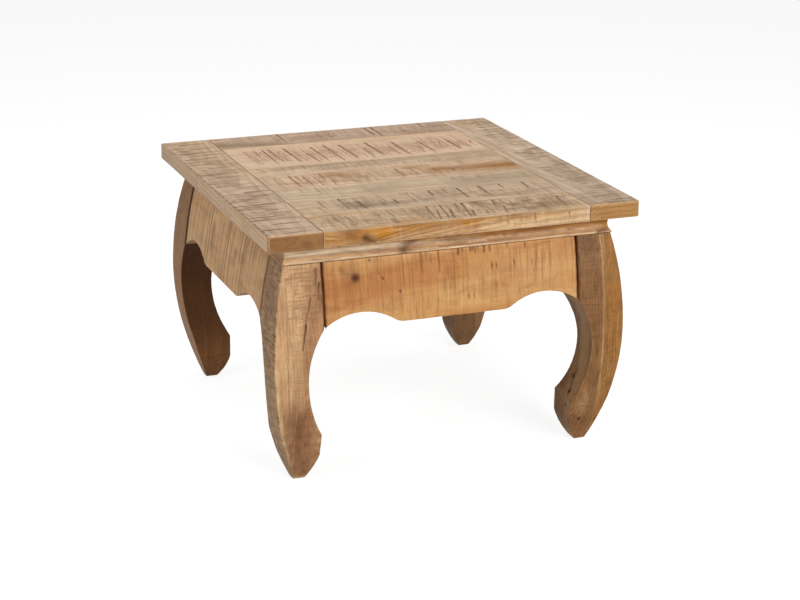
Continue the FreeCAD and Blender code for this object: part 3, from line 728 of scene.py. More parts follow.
FIELD_TOPS = {
    1: strokes(
        (-23, -218, -32, -275, 3.2, 0.83), (-30, -240, -38, -278, 2.2, 0.48),
        (-10, -218, -14, -240, 3.2, 0.48), (-15, -244, -27, -290, 3.2, 0.83),
        (0, -213, -12, -285, 3.2, 0.85), (6, -245, -6, -290, 4.2, 0.85), (25, -212, 18, -255, 4.2, 0.85),
        (35, -218, 22, -290, 4.8, 0.85), (36, -260, 28, -290, 4.2, 0.85), (64, -250, 61, -288, 3.2, 0.59),
        (76, -219, 74, -231, 3.2, 0.48), (87, -216, 78, -256, 4.2, 0.85), (90, -255, 82, -288, 3.7, 0.77),
        (98, -216, -246, 4.2, 0.59), (98, -270, 96, -284, 5.3, 0.54), (115, -268, 117, -284, 4.2, 0.42),
        (121, -262, 122, -285, 3.2, 0.54), (168, -228, 162, -278, 3.2, 0.54), (180, -232, -250, 3.2, 0.42),
        (190, -228, 182, -283, 4.2, 0.85), (204, -220, 202, -236, 2.2, 0.36), (-186, -228, -246, 3.2, 0.54),
        (-177, -234, -246, 4.2, 0.48), (-165, -228, -164, -246, 4.2, 0.54),
        (-158, -230, -156, -263, 3.2, 0.65), (-146, -232, -145, -262, 2.2, 0.3),
        (-131, -226, -133, -250, 2.2, 0.36), (-112, -225, -114, -256, 3.2, 0.42),
        (-88, -228, -89, -258, 3.2, 0.48), (-72, -226, -244, 3.2, 0.3), (-62, -224, -66, -258, 3.2, 0.36),
        (-52, -226, -50, -268, 3.2, 0.48), (-38, -222, -280, 3.2, 0.48))
    + faint_strokes((-190, -292), (205, -236), 150, True, 26, 11, 0.6, 2.4)
    + faint_strokes((10, -292), (205, -234), 60, True, 24, 21, 0.75, 2.6)
    + patches(
        STROKE_AND_SHADE, (56, -222, 60, -250, 17, 0.75), (-48, -230, -262, 12, 0.44),
        (132, -238, 142, -238, 7, 0.75), (150, -262, 148, -286, 17, 0.7), (124, -282, 136, -280, 16, 0.6),
        (66, -228, 72, -244, 14, 0.6), (108, -250, 112, -262, 14, 0.5), (184, -250, 186, -272, 12, 0.5),
        (-137, -262, -132, -262, 8, 0.5), (-50, -265, -49, -265, 8, 0.5))
    + patches(
        WARM_TINT_AND_PAINTED_LIGHT, (-95, -286, -50, -284, 16, 0.5), (-210, -298, 210, -298, 5, 0.4),
        (150, -270, 205, -284, 14, 0.35))
    + patches(GREY_STAIN_AND_SHADE, (-190, -236, -150, -240, 14, 0.3), (100, -275, 130, -275, 16, 0.25)),
    2: strokes(
        (-168, -138, -170, -172, 3, 0.63), (-178, -174, -182, 5, 0.49), (-135, -134, -136, -192, 3.5, 0.84),
        (-129, -138, -130, -144, 3, 0.56), (-112, -140, -150, 3, 0.42), (-103, -168, -190, 3, 0.56),
        (-78, -168, -76, -190, 3, 0.56), (-70, -155, -176, 3, 0.63), (-55, -165, -190, 4, 0.91),
        (-22, -134, -24, -146, 2.5, 0.42), (-25, -165, -23, -186, 3, 0.56), (-15, -162, -14, -186, 3, 0.49),
        (15, -128, 12, -165, 3.5, 1), (39, -132, 38, -156, 3, 0.63), (62, -130, 60, -188, 4, 0.98),
        (78, -140, 74, -176, 4, 0.35), (99, -130, 98, -181, 4, 1), (134, -132, 133, -156, 4, 0.84),
        (174, -130, 172, -168, 4, 0.91), (142, -198, 139, -203, 2.5, 0.7))
    + faint_strokes((-180, -205), (200, -150), 90, True, 24, 12, 0.4, 2.2)
    + patches(
        STROKE_AND_SHADE, (-128, -162, -120, -186, 10, 0.5), (-112, -162, -192, 9, 0.81),
        (-8, -182, 2, -182, 8, 0.62), (108, -166, 136, -165, 5, 0.38))
    + patches(
        GREY_STAIN_AND_SHADE, (-135, -182, -62, -182, 26, 0.6), (-60, -184, -20, -184, 14, 0.25),
        (100, -192, 180, -196, 18, 0.3), (0, -172, 90, -172, 24, 0.25))
    + patches(WARM_TINT_AND_PAINTED_LIGHT, (-212, -190, -150, -194, 14, 0.4), (100, -188, 170, -190, 14, 0.3))
    + patches(WEAR_AND_HIGHLIGHT, (-212, -209, -146, -208, 6, 0.6), (190, -132, 212, -140, 16, 0.35)),
    3: strokes(
        (-172, -66, -82, 3.8, 0.35), (-147, -64, -98, 3.1, 0.63), (-138, -66, -92, 3.8, 0.42),
        (-130, -66, -90, 3.8, 0.35), (-120, -70, -82, 2.5, 0.35), (83, -68, 82, -82, 3.8, 0.35),
        (98, -72, 96, -76, 5, 0.35), (123, -76, 125, -86, 3.8, 0.42), (200, -92, 199, -96, 5, 0.35))
    + faint_strokes((-190, -125), (200, -80), 34, True, 18, 13, 0.25, 2.6)
    + patches(
        GREY_STAIN_AND_SHADE, (-75, -105, -45, -105, 24, 0.3), (90, -98, 212, -98, 44, 0.42),
        (-28, -85, -20, -85, 26, 0.25))
    + patches(WEAR_AND_HIGHLIGHT, (-90, -68, -91, -102, 3, 0.4), (-20, -92, -18, -98, 20, 0.2)),
    4: strokes(
        (-190, 16, -188, -22, 2.5, 0.5), (-183, 10, -182, -24, 3, 0.67), (-163, 22, -165, -46, 3, 0.92),
        (-155, 16, -153, -38, 2.5, 0.67), (-143, 10, -42, 3, 0.84), (-135, 12, -134, -36, 2.5, 0.59),
        (-126, 4, -128, -52, 3, 0.84), (-113, 20, -112, -12, 3, 0.84), (-103, -22, -107, -52, 3, 0.84),
        (-46, -16, -50, -42, 3, 0.67), (-12, 2, -22, 2.5, 0.59), (15, 8, 13, -42, 3.5, 0.92),
        (21, -4, 18, -40, 2.2, 0.76), (40, 4, 38, -30, 2.2, 0.42), (75, -6, 72, -30, 2.5, 0.67),
        (90, -28, 88, -46, 2.5, 0.5), (106, -18, 102, -36, 3, 0.67), (175, -26, 168, -44, 2.2, 0.5))
    + faint_strokes((-195, -52), (120, -10), 90, True, 36, 14, 0.6, 2.2)
    + patches(
        WARM_TINT_AND_PAINTED_LIGHT, (-96, 8, -70, 6, 30, 0.8), (-95, -30, -80, -34, 18, 0.3), (40, 6, 72, -10, 20, 0.8),
        (75, -14, 120, -24, 34, 0.95), (204, -24, 120, -24, 38, 1.15), (20, 22, 60, 16, 12, 0.45))
    + patches(
        STROKE_AND_SHADE, (-71, -38, -66, -38, 11, 0.62), (150, -56, 212, -54, 7, 0.28),
        (176, -22, 178, -24, 8, 0.38))
    + patches(GREY_STAIN_AND_SHADE, (-66, -46, -68, -56, 6, 0.5), (-205, -52, -150, -50, 18, 0.25)),
    5: strokes(
        (-142, 76, -140, 60, 3, 0.54), (-122, 76, 54, 3, 0.54), (-147, 60, 40, 2.2, 0.39),
        (-92, 68, -95, 44, 3, 0.54), (-82, 70, -84, 42, 3, 0.54), (-63, 76, -64, 52, 3, 0.46),
        (-53, 70, 48, 4, 0.54), (-30, 60, -28, 50, 5, 0.39), (46, 48, 45, 36, 4, 0.54),
        (71, 48, 72, 36, 4, 0.46), (30, 44, 28, 34, 2.2, 0.39), (104, 74, 108, 38, 3, 0.39),
        (96, 44, 94, 36, 2.2, 0.46))
    + faint_strokes((-195, 34), (140, 60), 46, True, 20, 15, 0.3, 2.6)
    + patches(GREY_STAIN_AND_SHADE, (-168, 70, 205, 68, 20, 0.38), (0, 34, 30, 32, 10, 0.25), (190, 44, 210, 44, 24, 0.3))
    + patches(
        STROKE_AND_SHADE, (-168, 60, -160, 40, 22, 0.18), (-96, 58, -70, 54, 22, 0.2), (40, 70, 130, 68, 14, 0.12))
    + patches(WEAR_AND_HIGHLIGHT, (-212, 54, -180, 52, 44, 0.4), (-10, 44, 30, 42, 12, 0.3)),
    6: strokes(
        (-185, 196, -184, 168, 2.2, 0.61), (-184, 150, -182, 136, 2.2, 0.34),
        (-178, 196, -177, 180, 2.2, 0.47), (-166, 194, 162, 2.7, 0.89), (-165, 150, -164, 122, 2.2, 0.55),
        (-160, 186, -158, 152, 2.2, 0.61), (-152, 196, 124, 3.1, 0.98), (-141, 196, -139, 116, 3.1, 0.98),
        (-131, 175, -132, 160, 3.1, 0.69), (-131, 142, -130, 114, 2.7, 0.69), (-114, 196, 110, 3.5, 0.98),
        (-102, 172, -103, 134, 2.2, 0.28), (-87, 186, -88, 150, 3.1, 0.55), (-87, 152, -84, 94, 3.9, 0.89),
        (-68, 191, -66, 112, 3.5, 0.98), (-67, 112, 90, 3.5, 0.47), (-57, 172, -58, 152, 2.7, 0.34),
        (-43, 196, -42, 90, 3.9, 0.98), (-34, 152, 92, 2.7, 0.34), (-17, 192, -16, 100, 3.9, 0.98),
        (12, 186, 14, 160, 2.7, 0.41), (14, 152, 12, 90, 3.1, 0.83), (30, 190, 31, 104, 3.9, 0.98),
        (43, 152, 130, 2.2, 0.41), (48, 158, 49, 114, 2.2, 0.47), (60, 156, 96, 3.5, 0.69),
        (75, 182, 76, 94, 3.5, 0.98), (106, 140, 105, 96, 3.5, 0.47), (119, 196, 120, 168, 2.7, 0.47),
        (119, 168, 122, 96, 3.5, 0.98), (152, 156, 148, 134, 3.1, 0.75), (147, 196, 182, 2.2, 0.41),
        (169, 180, 160, 2.2, 0.61), (169, 160, 172, 102, 4.8, 0.98), (206, 148, 202, 132, 3.5, 0.83),
        (184, 150, 126, 4.3, 0.61))
    + faint_strokes((-190, 96), (205, 160), 170, True, 60, 16, 0.6, 2.2)
    + patches(
        STROKE_AND_SHADE, (-50, 162, 152, 8, 0.39), (-4, 178, 6, 172, 22, 0.17), (92, 156, 106, 132, 16, 0.31),
        (150, 128, 146, 112, 14, 0.3), (60, 150, 130, 10, 0.3), (184, 145, 138, 12, 0.3))
    + patches(
        WEAR_AND_HIGHLIGHT, (-212, 226, -60, 212, 16, 0.55), (-60, 211, 120, 210, 14, 0.6), (120, 210, 212, 196, 14, 0.4),
        (-210, 88, 212, 88, 10, 0.25)),
    7: strokes(
        (-94, 299, 262, 3.8, 0.91), (-94, 262, -95, 236, 2.8, 0.42), (-2, 290, -8, 262, 2.2, 0.56),
        (2, 276, 0, 262, 2.2, 0.56), (-19, 248, -22, 238, 2.3, 0.49), (-19, 290, 262, 2.2, 0.35),
        (26, 290, 25, 270, 2.8, 0.42), (45, 282, 44, 272, 2.8, 0.42), (66, 298, 67, 242, 3.8, 0.91),
        (79, 299, 78, 230, 3.8, 0.91), (158, 298, 156, 266, 2.2, 0.42), (168, 299, 258, 3.8, 0.63),
        (-108, 298, -107, 288, 2.8, 0.42), (-148, 290, -146, 274, 2.8, 0.28),
        (110, 284, 108, 268, 2.8, 0.35))
    + faint_strokes((-110, 236), (200, 275), 100, True, 34, 17, 0.5, 2.2)
    + patches(
        STROKE_AND_SHADE, (-8, 254, -2, 258, 9, 0.62), (67, 262, 246, 8, 0.5), (-70, 228, 45, 230, 12, 0.25),
        (30, 252, 45, 244, 14, 0.15))
    + patches(
        GREY_STAIN_AND_SHADE, (-208, 250, -110, 232, 30, 0.75), (-190, 262, -140, 252, 14, 0.4),
        (195, 270, 212, 262, 30, 0.4))
    + patches(WARM_TINT_AND_PAINTED_LIGHT, (120, 230, 175, 232, 18, 0.5), (170, 232, 190, 226, 20, 0.6)),
}
FIELD_EDGES = {
    1: {
        # The pale line along the top arris is partly wear and partly a painted highlight
        "front": strokes((-212, 403.6, 212, 403.6, 1.8, 0.7), layer=WEAR_AND_HIGHLIGHT)
        + patches(
            WARM_TINT_AND_PAINTED_LIGHT, (-214, 393, 60, 393, 44, 0.95), (20, 393, 214, 396, 44, 0.36),
            (-165, 400, 30, 402, 12, 1.1), (-128, 392, -70, 392, 22, 1.15), (8, 397, 66, 401, 13, 1.1),
            (84, 399, 100, 395, 12, 1.0), (108, 395, 128, 397, 11, 1.0), (140, 397, 176, 395, 9, 0.9))
        + strokes(
            (-151, 387, -135, 382, 5.2, 1), (-214, 398, -176, 391, 2.4, 0.63),
            (-214, 391, -178, 388, 2.1, 0.56), (-214, 384, -184, 384, 2.1, 0.42),
            (-132, 386, -60, 401, 2.4, 0.7), (-128, 383, -20, 400, 2.4, 0.63),
            (-110, 381, 40, 400, 2.7, 0.56), (-90, 380, 70, 394, 2.2, 0.5), (-60, 380, 80, 399, 2.1, 0.5),
            (60, 396, 210, 402, 2.4, 0.6), (20, 381, 120, 392, 2.1, 0.42), (-10, 383, 130, 402, 2.2, 0.45),
            # The last stroke, along the lower edge at 380, is painted shade under the edge of the top
            (90, 386, 200, 394, 2.1, 0.35), (-214, 380, 214, 380, 2.6, 0.6))
        + patches(
            WEAR_AND_HIGHLIGHT, (-210, 395, -186, 395, 5, 0.5), (-104, 384, 10, 388, 6, 0.6),
            (40, 386, 210, 389, 14, 1.0), (40, 399, 90, 397, 5, 0.5), (110, 397, 212, 399, 5, 0.5))
        + patches(
            STROKE_AND_SHADE, (-176, 401, -160, 382, 30, 0.6), (-150, 388, -136, 382, 13, 1.1),
            (-178, 386, -214, 384, 7, 0.35), (-104, 402, 10, 402, 6, 0.5), (-66, 393, 20, 400, 6, 0.4),
            (16, 402, 74, 402, 7, 0.45), (84, 402, 112, 400, 9, 0.5), (120, 386, 190, 388, 4, 0.25),
            (140, 401, 200, 402, 4, 0.35), (76, 402, 78, 390, 4, 0.7), (122, 401, 123, 389, 3.4, 0.7),
            (64, 401, 65, 393, 4, 0.6), (180, 398, 181, 389, 3.4, 0.6), (100, 397, 101, 388, 3.4, 0.4)),
    },
    7: {
        "back": faint_strokes((-212, 381), (212, 396), 60, True, 9, 18, 0.35)
        + knot((88, 389), 5)
        + faint_strokes((-200, 382), (100, 402), 40, False, 90, 19, 0.4, 2.0)
        + patches(WARM_TINT_AND_PAINTED_LIGHT, (60, 392, 212, 390, 26, 0.9), (-212, 396, -60, 388, 12, 0.7)),
    },
}
END_WOODS = {
    "left": Wood(
        (220, 192, 164), (202, 172, 144), (126, 92, 64), warm=(154, 107, 61), sawn=0.24, bold=0.12,
        fibres=0.15, pores=0.05, saw_gap=3.0, stroke=(84, 48, 30)),
    "right": Wood(
        (224, 200, 174), (205, 179, 152), (122, 90, 62), warm=(180, 132, 74), sawn=0.24, bold=0.12,
        fibres=0.15, pores=0.05, saw_gap=3.0, stroke=(96, 58, 36)),
}
END_MARKS = {
    "left": {
        "top": strokes(
            (-296, -62, -244, -60, 3.1, 0.75), (-294, -76, -262, -78, 3.1, 0.45),
            (-290, -90, -288, -96, 3.1, 0.52), (-262, -92, -257, -94, 4.7, 0.75),
            (-299, -104, -296, -106, 3.7, 0.9), (-297, -129, -238, -127, 3.7, 1),
            (-294, -143, -248, -141, 3.1, 0.68), (-298, -198, -240, -196, 3.2, 0.98),
            (-296, -213, -256, -212, 3.1, 0.68), (-230, -214, -216, -216, 4.7, 0.45),
            (-298, -265, -246, -264, 3.7, 1), (-290, -278, -262, -279, 3.1, 0.52),
            (-296, 66, -256, 66, 4.2, 0.9), (-294, 79, -252, 78, 3.2, 0.6), (-294, 10, -252, 11, 3.7, 0.68),
            (-290, 142, -264, 140, 3.7, 0.45), (-292, -34, -264, -33, 3.1, 0.3),
            (-294, -178, -270, -178, 3.1, 0.3), (-296, -240, -262, -241, 3.1, 0.38),
            (-290, 110, -264, 111, 3.1, 0.3), (-292, 40, -262, 41, 3.1, 0.3),
            (-292, 168, -266, 167, 3.1, 0.3), (-294, 196, -268, 196, 3.1, 0.3),
            (-292, 232, -270, 232, 3.1, 0.3), (-297.6, -292, 296, 2.6, 0.9))
        + faint_strokes((-298, -290), (-250, 292), 200, False, 44, 33, 0.85, 2.4)
        + faint_strokes((-298, 0), (-262, 292), 60, False, 30, 34, 0.4, 2.8)
        + patches(GREY_STAIN_AND_SHADE, (-235, -30, -222, -120, 26, 0.22), (-285, 30, 60, 24, 0.2))
        + patches(WARM_TINT_AND_PAINTED_LIGHT, (-290, 288, -282, 282, 12, 0.45))
        + patches(WEAR_AND_HIGHLIGHT, (-250, 262, -235, 205, 34, 0.3), (-250, 290, 60, 80, 0.3))
        + patches(STROKE_AND_SHADE, (-216, -290, -214, -240, 5, 0.26)),
        "front": patches(WARM_TINT_AND_PAINTED_LIGHT, (-300, 392, -214, 392, 60, 1.8))
        # The pale line along the top arris is partly wear and partly a painted highlight
        + strokes((-297, 403.6, -216, 403.6, 1.8, 0.7), layer=WEAR_AND_HIGHLIGHT)
        + strokes(
            (-238, 388, -236, 386, 10, 0.5), (-296, 399, -262, 400, 2.2, 0.42),
            (-286, 384, -250, 384, 2.2, 0.42))
        + faint_strokes((-296, 381), (-220, 396), 40, True, 9, 36, 0.4, 1.8)
        + patches(STROKE_AND_SHADE, (-292, 392, -270, 392, 26, 0.2)),
        "back": patches(WARM_TINT_AND_PAINTED_LIGHT, (-300, 392, -214, 392, 60, 1.5))
        + faint_strokes((-220, 381), (-296, 396), 40, True, 9, 37, 0.4, 1.8),
        # The pale band over the left side face is painted light, lifting a face that the lamps light too
        # little; the faint strokes on it are the wood's
        "left": patches(WEAR_AND_HIGHLIGHT, (-290, 396, 290, 396, 18, 0.7))
        + strokes(
            (-280, 398, 40, 397, 1.9, 0.2), (-120, 388, 160, 387, 1.9, 0.15),
            (60, 394, 280, 393, 1.9, 0.15)),
    },
    "right": {
        "top": strokes(
            (246, -46, 262, -45, 4.7, 0.45), (280, -46, 294, -48, 4.7, 0.45),
            (238, -64, 260, -66, 4.7, 0.6), (276, -70, 290, -68, 4.7, 0.52),
            (240, -84, 280, -88, 5.6, 0.52), (258, -134, 296, -146, 3.7, 0.52),
            (262, -178, 270, -176, 3.7, 0.6), (282, -172, 292, -174, 3.7, 0.6),
            (240, -206, 258, -204, 3.7, 0.45), (262, -204, 296, -206, 3.7, 0.68),
            (248, -252, 296, -252, 4.7, 0.52), (238, -6, 258, -6, 3.7, 0.52),
            (262, 230, 294, 228, 4.7, 0.68), (258, 190, 296, 188, 3.7, 0.52), (250, 32, 296, 30, 3.1, 0.45),
            (280, 156, 296, 156, 3.1, 0.38), (246, 236, 262, 236, 3.1, 0.3),
            (262, 128, 290, 128, 3.1, 0.22), (256, 84, 292, 84, 3.1, 0.22),
            (220, -146, 232, -148, 3.7, 0.38))
        + faint_strokes((240, -290), (284, 292), 230, False, 44, 35, 0.95, 2.2)
        + patches(
            STROKE_AND_SHADE, (286, -210, 292, -258, 14, 0.23), (276, -140, 294, -146, 9, 0.39),
            (240, -70, 290, -80, 24, 0.13), (268, -280, -60, 90, 0.27))
        + patches(
            WARM_TINT_AND_PAINTED_LIGHT, (246, 264, 284, 268, 28, 0.5), (224, -290, 292, -294, 10, 0.75),
            (282, -110, 292, -130, 12, 0.3))
        + patches(WEAR_AND_HIGHLIGHT, (258, 290, 256, 0, 90, 0.2))
        + patches(
            GREY_STAIN_AND_SHADE, (224, -240, 228, -275, 16, 0.35), (226, 160, 232, 60, 20, 0.3),
            (216, -60, 218, -180, 14, 0.25)),
        "front": patches(WARM_TINT_AND_PAINTED_LIGHT, (300, 392, 214, 392, 60, 1.5))
        # The pale line along the top arris is partly wear and partly a painted highlight
        + strokes((216, 403.6, 297, 403.6, 1.6, 0.5), layer=WEAR_AND_HIGHLIGHT)
        + strokes(
            (214, 398, 296, 399, 2.2, 0.42), (220, 389, 290, 390, 2.2, 0.42),
            (236, 383, 290, 383, 2.2, 0.35)),
        "back": patches(WARM_TINT_AND_PAINTED_LIGHT, (300, 392, 214, 392, 60, 1.5))
        + faint_strokes((220, 381), (296, 396), 40, True, 9, 38, 0.4, 1.8),
        "right": faint_strokes((-290, 382), (290, 402), 60, False, 60, 91, 0.4),
    },
}


# How finely a board is divided for its marks, in metres and in cells
TEN_CELLS_LONG = 0.014
TWO_CELLS_ACROSS = 0.011
CELLS_THICK = 14
# How far under its board a pith lies, and how far the field boards' piths lie from the middle
FIELD_PITH_DEPTH = 0.05
FIELD_PITH_SWAY = 0.02
END_PITH_DEPTH = 0.04


def board(name, low, high, length_axis, arris, corner_side=0):
    """A sawn board with eased edges, divided finely along its length for its marks."""
    piece = add_block(name, low, high)
    across = 1 - length_axis
    edit(piece)
    if corner_side:
        round_edges(piece, lambda edge: runs_along(edge, 2)
                    and edge.verts[0].co.x * corner_side > HALF_WIDTH - MILLIMETRE, sizes().top_corner, 4)
    round_edges(piece, is_arris, arris, 2, clamp=True)
    span = high - low
    divide_along(piece, length_axis, 10 * round(span[length_axis] / TEN_CELLS_LONG))
    divide_along(piece, across, 2 * math.ceil(span[across] / TWO_CELLS_ACROSS))
    divide_along(piece, 2, CELLS_THICK)
    leave_edit()
    roughen(piece, length_axis, BOARD_RELIEF)
    smooth_faces(piece)
    return piece


class AddFieldBoards(bpy.types.Operator):
    """Adds the seven boards of the top that run from left to right"""
    bl_idname = "coffee_table.field_boards"
    bl_label = "Field Boards"

    def execute(self, context):
        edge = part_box("end_board_left")[1].x
        for number, wood in FIELD_WOODS.items():
            node = f"field_board_{number}"
            low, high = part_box(node)
            low.x, high.x = edge, -edge
            high.z -= sizes().field_drop
            piece = board(f"plank_{number}", low, high, 0, sizes().joint_arris)
            paint_marks(piece, {"top": FIELD_TOPS[number], **FIELD_EDGES.get(number, {})})
            middle = (low.y + high.y) / 2
            pith = (middle + FIELD_PITH_SWAY * math.sin(number * 2.3), low.z - FIELD_PITH_DEPTH)
            material = wood_material(f"field_wood_{number}", wood, 0, number, pith, FIELD_SLOPE)
            seat(piece, node, material)
        return {"FINISHED"}


class AddEndBoards(bpy.types.Operator):
    """Adds the two boards that close the ends of the top"""
    bl_idname = "coffee_table.end_boards"
    bl_label = "End Boards"

    def execute(self, context):
        for seed, (side, hand) in enumerate((("left", -1), ("right", 1)), END_SEED):
            node = f"end_board_{side}"
            low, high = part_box(node)
            piece = board(f"breadboard_{side}", low, high, 1, sizes().board_arris, hand)
            paint_marks(piece, END_MARKS[side])
            pith = ((low.x + high.x) / 2, low.z - END_PITH_DEPTH)
            material = wood_material(f"end_wood_{side}", END_WOODS[side], 1, seed, pith, END_SLOPE)
            seat(piece, node, material)
        return {"FINISHED"}


# Moulding

# Its own pale worn colour is the colour of the painted highlights on the moulding
MOULDING_WOOD = Wood(
    (208, 158, 96), (184, 128, 66), (106, 60, 26), warm=(194, 118, 36), rings=0.2, sawn=0.1, saw_gap=5,
    fibres=0.45, mottled=0.35, pores=0.25, roughness=0.42, rise=0.35, stroke=(92, 46, 16),
    worn=(250, 226, 190))
MOULDING_MARKS = {
    # On the front, the pale bands along the upper hollow and along the lower lip are painted highlights;
    # the dark line at 376.5 and the dark and orange bands at 370 to 371, under the top's edge, are painted
    # shade
    "front": strokes((-264, 363.5, -80, 362.5, 8, 1.3), (-264, 351, 264, 351, 2.6, 0.8), layer=WEAR_AND_HIGHLIGHT)
    + patches(
        WEAR_AND_HIGHLIGHT, (-80, 362, 30, 360.5, 5, 0.8), (30, 357, 250, 358, 7, 0.5), (-250, 354, -80, 354, 4, 0.5))
    + patches(
        WARM_TINT_AND_PAINTED_LIGHT, (60, 362, 262, 362, 22, 0.9), (190, 368, 264, 368, 14, 0.9), (-262, 370.5, -20, 370, 4, 1.0))
    + strokes(
        (-262, 357.5, -60, 357, 2.2, 0.75), (60, 356, 250, 354, 1.4, 0.5), (100, 365, 230, 361, 1.6, 0.5),
        (196, 359, 222, 362, 3, 0.5), (-60, 364, 20, 366, 1.7, 0.4), (-264, 376.5, 264, 376.5, 4.0, 1.2),
        (-20, 353.4, 240, 353.4, 1.6, 0.5))
    + patches(
        STROKE_AND_SHADE, (-20, 370, 262, 370, 9, 0.6), (-264, 371, -20, 370.5, 4, 0.7),
        (-78, 354, -60, 368, 15, 0.85), (-48, 369, -44, 370, 8, 0.5), (88, 361, 89, 360, 4, 0.8),
        (246, 352, 262, 354, 7, 0.9), (-10, 362, 40, 364, 6, 0.3), (120, 364, 160, 365, 5, 0.3))
    + faint_strokes((-20, 354), (200, 364), 60, False, 12, 55, 0.35, 2.0),
    # The grey on the left moulding is painted shade under the top
    "left": patches(GREY_STAIN_AND_SHADE, (-250, 362, 250, 362, 30, 0.3)),
}


HOLLOW_STEPS = 10
STRIP_ARRIS = 0.0007
STRIP_CELLS = 300
MOULDING_PITH = (-0.2, 0.33)


def hollow_inset(height):
    """How far the moulding's face lies behind its edge, at a height."""
    low = FRAME_UNDERSIDE + sizes().moulding_lower_edge
    high = TOP_UNDERSIDE - sizes().moulding_upper_edge
    depth = sizes().moulding_hollow
    half_chord = (high - low) / 2
    radius = (half_chord ** 2 + depth ** 2) / (2 * depth)
    from_middle = height - (low + high) / 2
    if abs(from_middle) >= half_chord:
        return 0.0
    return math.sqrt(radius ** 2 - from_middle ** 2) - (radius - depth)


def shape_strip(strip, low, high):
    """Cuts the strip's face to its hollow, level by level, and its ends to the mitre."""
    face, back = low.y, high.y
    bottom = low.z + sizes().moulding_lower_edge
    top = high.z - sizes().moulding_upper_edge
    levels = [bottom + (top - bottom) * step / HOLLOW_STEPS for step in range(HOLLOW_STEPS + 1)]
    edit(strip)
    for level in levels:
        bpy.ops.mesh.select_all(action="SELECT")
        bpy.ops.mesh.bisect(plane_co=(0, 0, level), plane_no=(0, 0, 1))
    for level in [low.z, *levels, high.z]:
        inwards = hollow_inset(level)
        for hand in (-1, 1):
            slide(strip, lambda v: abs(v.co.z - level) < LEVEL and v.co.y < face + LEVEL
                  and v.co.x * hand > 0, (-hand * inwards, inwards, 0))
    for hand in (-1, 1):
        slide(strip, lambda v: v.co.y > back - LEVEL and v.co.x * hand > 0,
              (-hand * (back - face), 0, 0))
    round_edges(strip, lambda edge: runs_along(edge, 0) and is_arris(edge, 0.5), STRIP_ARRIS, 2)
    divide_along(strip, 0, STRIP_CELLS)
    leave_edit()


class AddMouldings(bpy.types.Operator):
    """Adds the hollow moulding between the top and the aprons, mitred at its corners"""
    bl_idname = "coffee_table.mouldings"
    bl_label = "Moulding"

    def execute(self, context):
        low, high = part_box("moulding_front")
        strip = add_block("moulding_strip", low, high)
        shape_strip(strip, low, high)
        for place, turns in QUARTER_TURNS.items():
            piece = copy_of(strip, f"hollow_moulding_{place}")
            turn_piece(piece, turns)
            grain = turns % 2
            roughen(piece, grain, MOULDING_RELIEF)
            smooth_faces(piece)
            paint_marks(piece, {place: MOULDING_MARKS.get(place, [])})
            material = wood_material(
                f"moulding_wood_{place}", MOULDING_WOOD, grain, MOULDING_SEED + turns, MOULDING_PITH,
                MOULDING_SLOPE)
            seat(piece, f"moulding_{place}", material)
        bpy.data.objects.remove(strip)
        return {"FINISHED"}


# Aprons

